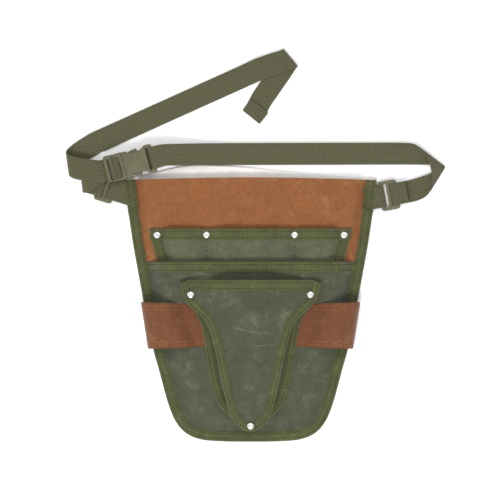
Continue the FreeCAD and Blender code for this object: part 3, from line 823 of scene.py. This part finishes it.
def main_strap_path():
    path = swapped(wrapped(BUCKLE, BAR_END, END_R, -1, (12.0, -3.4), (10.0, 2.4), 0.7))
    path += [across(-80, 175.2, 12.0, 4), across(-50, 176.0, 6.0, 1.5),
             across(-20, 176.3, OVER_Z, 1), across(160, 176.8, OVER_Z, 0)]
    path += fold(206.5, 176.6, 0.5, 142, OVER_Z, FLOOR_Z)
    path += fold(214.2, 144.3, -76.5, 238.8, FLOOR_Z, OVER_Z)
    return path + wrapped(RIGHT_SLIDER, BAR_U, WRAP_R, -1, (12.0, 3.4), (20.0, -0.9), 3.6)[::-1]


def tail_strap_path():
    path = [across(*at(BUCKLE, u, 0, z), 195, True) for u, z in
            ((10.6, 3.05), (8.3, 3.05), (6.9, 1.2), (5.6, -1.6), (4.4, -2.95), (2.6, -2.97),
             (-3.0, -3.0))]
    path += [across(-178, 156.5, 11.4, 180, True)]
    path += fold(-206.5, 161.0, 172, 98, 11.4, FLOOR_Z, slip=9.0)
    path += [across(-180, 187.5, FLOOR_Z, 24), across(-20, 259.5, FLOOR_Z, 24.3),
             across(12, 274.0, OVER_Z, 24.5)]
    path += fold(45.5, 286.0, 24.5, 130, OVER_Z, FLOOR_Z)
    path += [across(13.0, 239.0, FLOOR_Z, 233, True)]
    path += fold(1.5, 219.5, 231, 141, FLOOR_Z, FLOOR_Z + WEB + 0.3)
    return path + [across(10.5, 230.8, FLOOR_Z + WEB + 0.1, 51)]


def short_strap_path():
    path = swapped(wrapped(LEFT_SLIDER, BAR_U, WRAP_R, -1, (8.0, 3.0), (12.0, -2.5), 3.6))
    path += fold(-187.5, 146.0, 163, 275.5, 1.1, 9.5)
    return path + [across(*at(BUCKLE, u, 0, z), 15, True) for u, z in
                   ((-5.0, -4.45), (14.5, -4.45), (16.0, -3.6), (16.65, -1.5), (16.2, 1.6),
                    (14.4, 3.0), (10.9, 3.1))]


def flowing(stations, step=4.0, curl=14):
    """More stations between the given ones, on a curve that doesn't overshoot them. A long
    stretch is straight but for a curl at each of its ends."""
    p = np.array(stations)
    mids = p.mean(axis=1)
    run = np.linalg.norm(np.diff(mids, axis=0), axis=1)
    run = np.maximum(run, np.linalg.norm(np.diff(p, axis=0), axis=2).max(axis=1) * 0.5) + 1e-9
    slope = np.diff(p, axis=0) / run[:, None, None]
    tangent = np.concatenate([slope[:1], (slope[:-1] * run[1:, None, None]
                                          + slope[1:] * run[:-1, None, None])
                              / (run[1:] + run[:-1])[:, None, None], slope[-1:]])
    made = []
    for i, length in enumerate(run):
        count = max(3, int(math.ceil(length / step)))
        a, b = tangent[i] * min(length, curl), tangent[i + 1] * min(length, curl)
        for t in np.arange(count) / count:
            if length > 2 * curl:
                edge = curl / length
                line = p[i] + (p[i + 1] - p[i]) * t
                head = (a / curl - slope[i]) * curl * (t / edge) * max(0, 1 - t / edge) ** 2
                back = (1 - t) / edge
                foot = (b / curl - slope[i]) * -curl * back * max(0, 1 - back) ** 2
                made.append(line + head + foot)
            else:
                h = t * t * (3 - 2 * t)
                made.append(p[i] * (1 - h) + p[i + 1] * h + tangent[i] * length * t * (1 - t) ** 2
                            - tangent[i + 1] * length * t * t * (1 - t))
    return np.array(made + [p[-1]])


def nearby(rows, x, y, reach):
    """1 at the stations near a place, and softly down to 0 away from it."""
    mids = rows.mean(axis=1)
    return np.exp(-(((mids[:, 0] - x) ** 2 + (mids[:, 1] - y) ** 2) / reach ** 2) ** 2)


def strap(name, stations, seed, lively=0.12, bends=(), tilts=(), tips=(), cut=None):
    """Webbing through stations, a function that gives lines on its face, and its length.
    bends: where its turns are loose, as x, y, reach and softness. tilts: where its inner edge
    lifts, as x, y, reach, share of the width and rise. tips: where a fold's tip is blunt, as
    x, y, heading and depth. cut: where it is made as two pieces."""
    rows = flowing(stations)
    for x, y, reach, soft in bends:
        s = lengths(rows.mean(axis=1))
        share = np.gradient(s) * np.exp(-((s[:, None] - s[None]) / soft) ** 2)
        share /= share.sum(axis=1, keepdims=True)
        eased = np.einsum("ij,jkl->ikl", share, rows)
        rows[:, :, :2] += (eased - rows)[:, :, :2] * nearby(rows, x, y, reach)[:, None, None]
    for x, y, reach, share, rise in tilts:
        near = nearby(rows, x, y, reach)
        inner = np.argmin(rows[:, :, 0], axis=1)
        for i, k in enumerate(inner):
            shift = (rows[i, 1 - k] - rows[i, k]) * share * near[i]
            rows[i, k] += shift + np.array([0, 0, rise * near[i]])
    for x, y, angle, depth in tips:
        way = turned(angle)
        reach = (rows - (x, y, 0)) @ way + depth
        far = np.linalg.norm(rows[:, :, :2] - (x, y), axis=2) > 40
        pull = np.where((reach > 0) & ~far, depth * np.tanh(reach / depth) - reach, 0)
        rows = rows + pull[..., None] * way
    mids = rows.mean(axis=1)
    s = lengths(mids)
    along = np.gradient(mids, axis=0)
    side = rows[:, 1] - rows[:, 0]
    up = unit(np.cross(along, side))
    v = np.array([0.0, 0.012, 0.045, 0.12, 0.3, 0.5, 0.7, 0.88, 0.955, 0.988, 1.0])
    fat = np.array([0.35, 0.75, 1.0, 0.93, 1.0, 1.0, 1.0, 0.93, 1.0, 0.75, 0.35]) * WEB / 2
    ends = np.minimum(s, s[-1] - s)
    wave = lively * ripple(s[:, None], v[None, :] * 25, 30, seed) * ease(ends / 25)[:, None]
    middle = rows[:, None, 0] + side[:, None] * v[None, :, None] + up[:, None] * wave[..., None]
    above = middle + up[:, None] * fat[None, :, None]
    below = middle - up[:, None] * fat[None, :, None]
    rings = np.concatenate([above, below[:, ::-1]], axis=1)
    uv = np.concatenate([v, v[::-1]]) * WEB_W
    uvs = np.dstack([np.repeat(s[:, None], len(uv), 1), np.repeat(uv[None], len(s), 0)])

    def seam(distance, sign=1):
        """A line across the strap at a distance along it, and the way up there. A sign of -1
        gives its other face."""
        rise = sign * np.array([np.interp(distance, s, up[:, k]) for k in range(3)])
        line = [[np.interp(distance, s, rows[:, 0, k] * (1 - w) + rows[:, 1, k] * w)
                 for k in range(3)] for w in np.linspace(0.1, 0.9, 14)]
        return np.array(line) + rise * WEB / 2, rise

    web = finish_of("webbing")
    if cut is None:
        return sweep(name, rings, web, uvs), seam, s[-1]
    k = int(np.argmin(np.hypot(mids[:, 0] - cut[0], mids[:, 1] - cut[1])))
    first = sweep(name, rings[:k + 1], web, uvs[:k + 1])
    last = sweep(name + "End", rings[k:], web, uvs[k:])
    return (first, last), seam, (s[k], s[-1] - s[k])


# ---- the holster's lines ------------------------------------------------------------------------
ROWS = smooth(HOLSTER_ROWS, 8)


def seam_path(column):
    """A holster seam from the left mouth corner, round the tip, to the right one, with the
    height of the front seam above the pocket beside it."""
    half = ROWS[:, [column, column + 1, 4]]
    return np.vstack([half * (-1, 1, 1), half[::-1]])


def along_seam(column, low):
    """place(d) for a tape on a holster seam: d in from the edge, on what it holds."""
    path = even(seam_path(column), 2.0)
    normal = inward(path, 6)
    level = pocket_top(path[:, 1]) + (path[:, 2] if column else 0) + low
    return lambda d: np.column_stack([path[:, :2] + normal * d, level])


def holster_front():
    """The grid of the holster's front: flat on its seams and bulging between them."""
    path = seam_path(2)
    normal = inward(path)
    half = len(ROWS)
    u = np.linspace(-1, 1, 61)
    grid = []
    for (x, y, rise), n, row in zip(path[half:][::-1], normal[half:][::-1], ROWS):
        z = pocket_top(y) + rise
        flat = [np.array([x, y]) + n * d for d in (0.8, 3.5, 6.5)]
        inner = np.array([max(0.6, x + n[0] * 9), y + n[1] * 9])
        swell = row[5] * np.cos(u * math.pi / 2) ** 2
        ox, oy = u * inner[0], np.full(len(u), inner[1])
        fold_wave = (0.5 * ripple(ox, oy, 45, 31) + 0.3 * ripple(ox * 0.4, oy, 14, 32)
                     + 0.9 * creases(ox * 0.35, oy, 26, 33))
        oz = z + swell + fold_wave * (1 - u ** 8) * calm(ox, oy) * min(1, row[5] / 5)
        middle = np.column_stack([ox, oy, oz])
        left = [(-p[0], p[1], z) for p in flat]
        grid.append(np.vstack([left, middle, [(p[0], p[1], z) for p in flat[::-1]]]))
    return np.array(grid)


# ---- the operators ------------------------------------------------------------------------------
class BagStage(bpy.types.Operator):
    """Adds the floor, the soft lamps and the camera above the bag"""
    bl_idname = "tool_bag.stage"
    bl_label = "Floor, Lamps and Camera"

    def execute(self, context):
        scene, colours = context.scene, context.scene.bag_colours
        power = scene.bag_sizes.lamp_power
        corners = [(x * FLOOR_REACH, y * FLOOR_REACH, FLOOR_TOP) for x, y in
                   ((-1, -1), (1, -1), (1, 1), (-1, 1))]
        floor = add_mesh("Floor", corners, [(0, 1, 2, 3)], None,
                         pale_floor("pale floor", colours.floor), flat=True)
        world = bpy.data.worlds.new("soft studio")
        world.use_nodes = True
        sky = world.node_tree.nodes["Background"]
        sky.inputs["Color"].default_value = (1, 1, 1, 1)
        sky.inputs["Strength"].default_value = 0.66 * power
        scene.world = world
        for name, place, aim, size, watts in (
                ("Key softbox", (-0.2, -0.85, 1.45), (0, 0.05, 0), 0.5, 19.0),
                ("Top softbox", (0.1, 0.9, 1.7), (0, 0, 0), 1.3, 7.0),
                ("Left softbox", (-1.3, 0.35, 1.1), (0, 0, 0), 0.9, 4.0),
                ("Right softbox", (1.3, 0.5, 1.0), (0, 0, 0), 0.9, 3.0)):
            data = bpy.data.lights.new(name, "AREA")
            data.shape, data.size, data.energy = "SQUARE", size, watts * power
            lamp = bpy.data.objects.new(name, data)
            lamp.location = place
            turn = Vector(aim) - Vector(place)
            lamp.rotation_euler = turn.to_track_quat("-Z", "Y").to_euler()
            scene.collection.objects.link(lamp)
        data = bpy.data.cameras.new("Camera")
        data.sensor_width = 36
        data.lens = 36 * CAMERA_HEIGHT / FIELD
        data.clip_start, data.clip_end = 0.05, 20
        camera = bpy.data.objects.new("Camera", data)
        camera.location = (-0.0006, 0.067, CAMERA_HEIGHT)
        scene.collection.objects.link(camera)
        scene.camera = camera
        scene.view_settings.view_transform = "Standard"
        return {"FINISHED"}


class BagBack(bpy.types.Operator):
    """Adds the canvas back and the cotton lining that shows above the front"""
    bl_idname = "tool_bag.back"
    bl_label = "Back and Lining"

    def execute(self, context):
        back = lay("BackCanvas", back_under, BACK_TOP, "fabric_back", "back_panel", (290, 312), [],
                   rows=110, cols=101)
        lay("CottonLining", lining_under, [(x, y + 0.6) for x, y in BACK_TOP], "cotton_lining",
            "lining_panel", (290, 313), [back], LINING, rows=110, cols=101, step=1.5)
        return {"FINISHED"}


class BagFront(bpy.types.Operator):
    """Adds the brown canvas front panel"""
    bl_idname = "tool_bag.front"
    bl_label = "Front Panel"

    def execute(self, context):
        lay("FrontCanvas", front_under, FRONT_TOP, "brown_waxed_canvas", "front_panel", (292, 302),
            ["CottonLining"], rows=190, cols=171)
        return {"FINISHED"}


class BagUpperPocket(bpy.types.Operator):
    """Adds the upper pocket in three divisions, with its tapes"""
    bl_idname = "tool_bag.upper_pocket"
    bl_label = "Upper Pocket"

    def execute(self, context):
        # The upper pocket gets the lightened copy of the olive canvas: painted light that makes up
        # for its shade.
        pocket = lay("UpperPocket", upper_under, UPPER_Y, "olive_waxed_canvas",
                     "upper_pocket_panel", (300, 116), ["FrontCanvas"], finish="upper_canvas",
                     y0=-20.0, rows=120, cols=191, sides=lambda y: pocket_side(y) - 1)
        rows = []

        def side_tape(way):
            y = np.linspace(UPPER_Y, -8, 70)
            return lambda d: np.column_stack([way * (pocket_side(y) - d), y,
                                              upper_under(way * (pocket_side(y) - d), y)])

        for name, way in (("UpperPocketTape.L", -1), ("UpperPocketTape.R", 1)):
            rows += bind(name, side_tape(way), TAPE_W, CANVAS, (30, 104), [pocket],
                         ["upper_pocket_binding"], (2.5, 9.4), seed=40 + way, under=False)
        wide = pocket_side(UPPER_Y) - 0.5
        x = np.linspace(-wide, wide, 190)
        over = TAPE * ease((np.abs(x) - wide + TAPE_W + 1) / 1.5)

        def mouth(d):
            y = np.full(len(x), UPPER_Y - d)
            return np.column_stack([x, y, upper_under(x, y) + over])

        rows += bind("UpperPocketTape.Top", mouth, TAPE_W, CANVAS, (30, 232), [pocket], [],
                     (2.6, 9.4), seed=43)
        sewn("UpperPocketStitches", rows, "tape_thread", "twill_binding")
        y = np.linspace(UPPER_Y - TAPE_W - 1, 40, 30)
        dividers = []
        for way in (-1, 1):
            x = np.full(len(y), way * DIVIDER_X)
            dividers.append((np.column_stack([x, y, upper_under(x, y) + CANVAS]), UP))
        sewn("DividerStitches", dividers, "tape_thread", "olive_waxed_canvas")
        return {"FINISHED"}


class BagLowerPocket(bpy.types.Operator):
    """Adds the large lower pocket and the tape along its mouth"""
    bl_idname = "tool_bag.lower_pocket"
    bl_label = "Lower Pocket"

    def execute(self, context):
        pocket = lay("LowerPocket", lower_under, LOWER_Y, "olive_waxed_canvas",
                     "lower_pocket_panel", (285, 216), ["FrontCanvas", "UpperPocket"],
                     rows=170, cols=191)
        wide = half_width(LOWER_Y) - SEAM_W + 0.6
        x = np.linspace(-wide, wide, 200)

        def mouth(d):
            y = np.full(len(x), LOWER_Y - d)
            return np.column_stack([x, y, lower_under(x, y)])

        rows = bind("LowerPocketTape", mouth, 11.5, CANVAS, (29, 250), [pocket],
                    ["lower_pocket_binding"], (2.6, 9.0), seed=45)
        sewn("LowerPocketStitches", rows, "tape_thread", "twill_binding")
        return {"FINISHED"}


class BagEdgeTape(bpy.types.Operator):
    """Adds the tape round the bag's edge and the wraps at its two upper corners"""
    bl_idname = "tool_bag.edge_tape"
    bl_label = "Edge Tape"

    def execute(self, context):
        tacks = []
        layers = ["BackCanvas", "FrontCanvas"]

        def edge(path, low):
            normal = inward(path, 8)
            return lambda d: np.column_stack([path + normal * d, np.full(len(path), low)])

        def slanted(path, low):
            flat = edge(path, low)
            w = ease((CORNER_Y + 14 - path[:, 1]) / 14)
            return lambda d: flat(d) + np.column_stack([w * 0, w * (0.45 * d - 2.5), w * 0])

        whole = even(OUTLINE[OUTLINE[:, 1] < CORNER_Y + 8], 2.5)
        rows = bind("EdgeTape", edge(whole, SEAM_BACK), EDGE_TAPE_W, 4.1,
                    (32, lengths(whole)[-1]), layers, ["edge_binding"], (2.4, 8.2), seed=50)
        for name, way, node in (("CornerTape.L", -1, "left_corner_binding"),
                                ("CornerTape.R", 1, "right_corner_binding")):
            part = OUTLINE[(OUTLINE[:, 1] > CORNER_Y - 3) & (OUTLINE[:, 1] < 147)
                           & (OUTLINE[:, 0] * way > 0)]
            part = even(part, 1.5)
            across_tape = tuple(np.linspace(1.2, EDGE_TAPE_W, 9))
            made = bind(name, slanted(part, SEAM_BACK - 0.1), EDGE_TAPE_W + 0.7, 5.4,
                        (34, lengths(part)[-1]), layers, [node], (2.4, 8.8) + across_tape,
                        seed=52 + way, puff=0.5)
            rows += made[:2]
            for step in (-2, -3) if way < 0 else (1, 2):
                tacks.append((np.array([line[step] for line, _ in made[2:]]), UP))
        belongs(stitches("CornerTacks", tacks, finish_of("tape_thread"), 2.4, 0.2, 0.42),
                "twill_binding")
        sewn("EdgeStitches", rows, "tape_thread", "twill_binding")
        return {"FINISHED"}


class BagHolster(bpy.types.Operator):
    """Adds the tool holster on the front, with its gusset and tapes"""
    bl_idname = "tool_bag.holster"
    bl_label = "Holster"

    def execute(self, context):
        olive = finish_of("olive_waxed_canvas")
        top = holster_front()
        front = cloth("HolsterFront", top[::-1], CANVAS, olive)
        belongs(front, "olive_waxed_canvas", "holster_front_panel")
        declare(front, 162, 170, "gathered", ["HolsterGusset"])
        rows = []
        t = np.linspace(0, 1, 140)
        low, high = along_seam(0, 0.0), along_seam(2, -CANVAS)
        run = lengths(low(0.0))[-1]
        foot = {d: resampled(low(d), len(t)) for d in (0.9, 5.0, 9.0)}
        head = {d: resampled(high(d), len(t)) for d in (7.0, 4.0, 0.9)}
        wall_low, wall_high = foot[9.0], head[7.0]
        strip = [line + (0, 0, TAPE) for line in foot.values()]
        for k in range(1, 9):
            w = k / 9
            sag = math.sin(w * math.pi)
            wave = sag * 0.25 * ripple(t * 300, t * 0, 22, 61)
            strip.append(lerp(wall_low, wall_high, w) + upward(wave))
        strip = np.array(strip + list(head.values()))
        span = np.linalg.norm(np.diff(strip, axis=0), axis=2)
        v = np.vstack([np.zeros((1, len(t))), np.cumsum(span, axis=0)])
        gusset = cloth("HolsterGusset", strip, CANVAS * 0.9, olive,
                       np.dstack([np.repeat((t * run)[None], len(strip), 0), v]))
        belongs(gusset, "olive_waxed_canvas", "holster_gusset")
        declare(gusset, 34, run, "gathered", ["LowerPocket"])
        for name, place, inner, node, seed in (
                ("HolsterBaseTape", along_seam(0, TAPE), CANVAS, "holster_base_binding", 70),
                ("HolsterFrontTape", along_seam(2, -CANVAS), 2 * CANVAS + 0.1,
                 "holster_front_binding", 73)):
            rows += bind(name, place, 9.0, inner, (24, lengths(place(0.0))[-1]), [gusset], [node],
                         (1.9, 6.9), seed=seed, puff=0.4)
        ys = top[:, :, 1]

        def mouth(d):
            made = []
            for c in range(2, top.shape[1] - 2):
                y = ys[0, c] - d
                made.append([np.interp(y, ys[:14, c][::-1], top[:14, c, k][::-1]) for k in (0, 1, 2)])
            return np.array(made)

        rows += bind("HolsterMouthTape", mouth, 11.0, CANVAS, (28, 168), [front],
                     ["holster_mouth_binding"], (2.4, 8.8), seed=76)
        sewn("HolsterStitches", rows, "tape_thread", "twill_binding")
        return {"FINISHED"}


class BagToolLoops(bpy.types.Operator):
    """Adds the two arched tool loops beside the holster"""
    bl_idname = "tool_bag.tool_loops"
    bl_label = "Tool Loops"

    def execute(self, context):
        base = even(seam_path(0), 1.0)
        base = base[len(base) // 2:]

        def section(y, root, edge):
            z = pocket_top(y)
            under = np.interp(y, base[:, 1], base[:, 0]) - 7
            points = [(under, z), (max(under + 6, root + 2), z), (root + 10, z + 0.3),
                      (root + 17, z + 4), (root + 24, z + 7.5), (edge - 22, z + 8.5),
                      (edge - 10, z + 6.5), (edge, z + 1), (edge + 3.4, z - 6),
                      (edge + 3.4, 7.5), (edge + 1.5, 3.6), (edge, 2.4)]
            line = smooth([(px, 0, pz) for px, pz in points], 10)
            return resampled(even(line, 0.8), 92)

        for name, way, node, seed in (("ToolLoop.L", -1, "left_tool_loop", 81),
                                      ("ToolLoop.R", 1, "right_tool_loop", 84)):
            grid, uvs = [], []
            run = lengths(section(LOOP_TOP, 70.0, 119.2))
            for v in np.linspace(0, 1, 44):
                y = lerp(LOOP_TOP, LOOP_BOTTOM, v)
                line = section(y, lerp(70.0, 51.0, v), lerp(119.2, 111.2, v))
                outward = np.linspace(0, 1, len(line))
                line[:, 1] = y - 3.2 * outward * v + 2.2 * outward * (1 - v)
                arch = np.sin(np.clip(outward * 1.25, 0, 1) * math.pi)
                wave = (0.7 * ripple(line[:, 0], line[:, 1], 32, seed)
                        + 0.8 * creases(line[:, 0], line[:, 1], 26, seed + 1)
                        - 1.3 * (abs(2 * v - 1) ** 3))
                line[:, 2] += arch * wave
                line[:, 0] *= way
                grid.append(line)
                uvs.append(np.column_stack([run, np.full(len(run), v * (LOOP_TOP - LOOP_BOTTOM))]))
            grid, uvs = np.array(grid)[::-way], np.array(uvs)[::-way]
            loop = cloth(name, grid, LOOP, finish_of("brown_loop_canvas"), uvs)
            belongs(loop, "brown_loop_canvas", node)
            declare(loop, 92, 82, "folded", ["LowerPocket"])
            up = face_of(grid)
            rows = []
            for share in (0.06, 0.13, 0.87, 0.94):
                k = int(round(share * (len(grid) - 1)))
                skin = grid[k] + up[k] * LOOP
                rows.append((skin[3:80], up[k][3:80]))
            sewn(name.replace("Loop", "LoopStitches"), rows, "loop_thread", "brown_loop_canvas")
        return {"FINISHED"}


class BagRivets(bpy.types.Operator):
    """Adds the domed rivet caps and finishes the posts of the upper pocket's rivets"""
    bl_idname = "tool_bag.rivets"
    bl_label = "Rivets"

    def execute(self, context):
        profile = [(3.2, -0.6), (4.0, -0.4), (4.05, 0.0), (4.0, 0.35), (3.75, 0.8), (3.3, 1.15),
                   (2.7, 1.42), (2.1, 1.55), (1.7, 1.55), (1.35, 1.4), (1.1, 1.12), (0.9, 1.05),
                   (0.45, 1.2), (0.15, 1.24)]
        stemmed = [(1.5, -2.8), (1.5, -0.6)] + profile
        upper = [(x, y, top_of("UpperPocketTape.Top", x, y) + 0.05) for x, y in UPPER_RIVETS]
        holster = [(x, y, SIDE_SEAT if x else TIP_SEAT) for x, y in HOLSTER_RIVETS]
        for name, outline, places, nodes in (
                ("UpperRivetCaps", profile, upper, ["upper_rivet_caps"]),
                ("HolsterRivetCaps", stemmed, holster, ["holster_rivet_caps",
                                                        "holster_rivet_posts"])):
            shapes = [lathe(outline, place) for place in places]
            caps = add_mesh(name, *joined(shapes), None, finish_of("chromed_steel"))
            belongs(caps, "chromed_steel", *nodes)
        repaint("upper_rivet_posts", "chromed_steel")
        return {"FINISHED"}


def top_of(name, x, y):
    """How high a piece's upper face is at a place, in millimetres."""
    bpy.context.view_layer.update()
    hit, spot, _, _ = bpy.data.objects[name].ray_cast((x * 0.001, y * 0.001, 0.1), (0, 0, -1))
    if not hit:
        raise RuntimeError("nothing of " + name + " there")
    return spot.z * 1000


def repaint(node, key, rounding=0.0):
    """Gives a CAD part its finish, and rounds its edges with modifiers."""
    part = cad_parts[node]
    part.data.materials.clear()
    part.data.materials.append(finish_of(key))
    if rounding:
        weld = part.modifiers.new("Weld", "WELD")
        weld.merge_threshold = 0.00001
        bevel = part.modifiers.new("Round edges", "BEVEL")
        bevel.width, bevel.segments = rounding, 3
        bevel.limit_method, bevel.angle_limit = "ANGLE", math.radians(35)
        bevel.use_clamp_overlap = True
        part.data.shade_smooth()


class BagHardware(bpy.types.Operator):
    """Finishes the plastic buckle and the two sliders"""
    bl_idname = "tool_bag.hardware"
    bl_label = "Buckle and Sliders"

    def execute(self, context):
        rounding = context.scene.bag_sizes.edge_round
        for node in ("buckle_female", "buckle_male", "buckle_left_arm", "buckle_right_arm",
                     "right_slider", "left_slider"):
            repaint(node, "olive_plastic", rounding)
        return {"FINISHED"}


def bending(piece, length, rests_on):
    """Webbing that runs between the bag and a part of the hardware, with its transform baked into its
    points.
    """
    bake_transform(piece)
    declare(piece, WEB_W, length, "folded", [rests_on])


class BagStraps(bpy.types.Operator):
    """Adds the belt's three lengths of webbing and the two tabs"""
    bl_idname = "tool_bag.straps"
    bl_label = "Belt and Tabs"

    def execute(self, context):
        for name, place, node, back, slack in (
                ("RightTab", RIGHT_SLIDER, "right_tab", -19, 1.0),
                ("LeftTab", LEFT_SLIDER, "left_tab", -23, 3.6)):
            turn = wrapped(place, -BAR_U, WRAP_R, 1, (back, 1.2), (back, -2), slack)
            tab, _, length = strap(name, turn, 90, lively=0)
            belongs(tab, "webbing", node)
            declare(tab, WEB_W, length, "folded", ["EdgeTape"])
        main, seam, length = strap("MainStrap", main_strap_path(), 91,
                                   bends=[(206, 172, 32, 10), (214, 146, 24, 6)],
                                   tilts=[(211, 160, 14, 0.3, 8.0)],
                                   tips=[(223.2, 163, 3, 6)], cut=(217, 160))
        sewn("MainStrapStitches", [seam(17), seam(19.5)], "web_thread", "webbing")
        belongs(main[0], "webbing", "main_strap")
        declare(main[0], WEB_W, length[0], "folded", ["Floor"])
        bending(main[1], length[1],
                "Floor")
        tail, seam, length = strap("TailStrap", tail_strap_path(), 92,
                                   bends=[(-205, 168, 40, 14), (46, 284, 28, 3.5)],
                                   tips=[(-215, 182, 160, 9)])
        belongs(tail, "webbing", "tail_strap", body="buckle_male_body")
        declare(tail, WEB_W, length, "folded", ["Floor"])
        sewn("TailStrapStitches", [seam(length - 14, -1), seam(length - 11.5, -1)],
             "web_thread", "webbing", body="buckle_male_body")
        short, _, length = strap("ShortStrap", short_strap_path(), 93, lively=0,
                                 cut=(-187.5, 146))
        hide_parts("short_strap")
        bending(short[0], length[0],
                "Floor")
        bending(short[1], length[1],
                "ShortStrap")
        return {"FINISHED"}


class BagPanel(bpy.types.Panel):
    """Lists the steps that build the bag"""
    bl_idname = "VIEW3D_PT_tool_bag"
    bl_label = "Garden Tool Bag"
    bl_space_type = "VIEW_3D"
    bl_region_type = "UI"
    bl_category = "Tool Bag"

    def draw(self, context):
        for step in STEPS:
            self.layout.operator(step.bl_idname)
        for settings in (context.scene.bag_sizes, context.scene.bag_colours):
            for name in settings.__annotations__:
                self.layout.prop(settings, name)


STEPS = (BagStage, BagBack, BagFront, BagUpperPocket, BagLowerPocket, BagEdgeTape, BagHolster,
         BagToolLoops, BagRivets, BagHardware, BagStraps)
CLASSES = (BagColours, BagSizes) + STEPS + (BagPanel,)


def register():
    for made in CLASSES:
        bpy.utils.register_class(made)
    bpy.types.Scene.bag_colours = bpy.props.PointerProperty(type=BagColours)
    bpy.types.Scene.bag_sizes = bpy.props.PointerProperty(type=BagSizes)


def unregister():
    del bpy.types.Scene.bag_sizes, bpy.types.Scene.bag_colours
    for made in reversed(CLASSES):
        bpy.utils.unregister_class(made)


def main():
    register()
    for step in STEPS:
        group, name = step.bl_idname.split(".")
        getattr(getattr(bpy.ops, group), name)()
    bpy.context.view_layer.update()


if __name__ == "__main__":
    main()
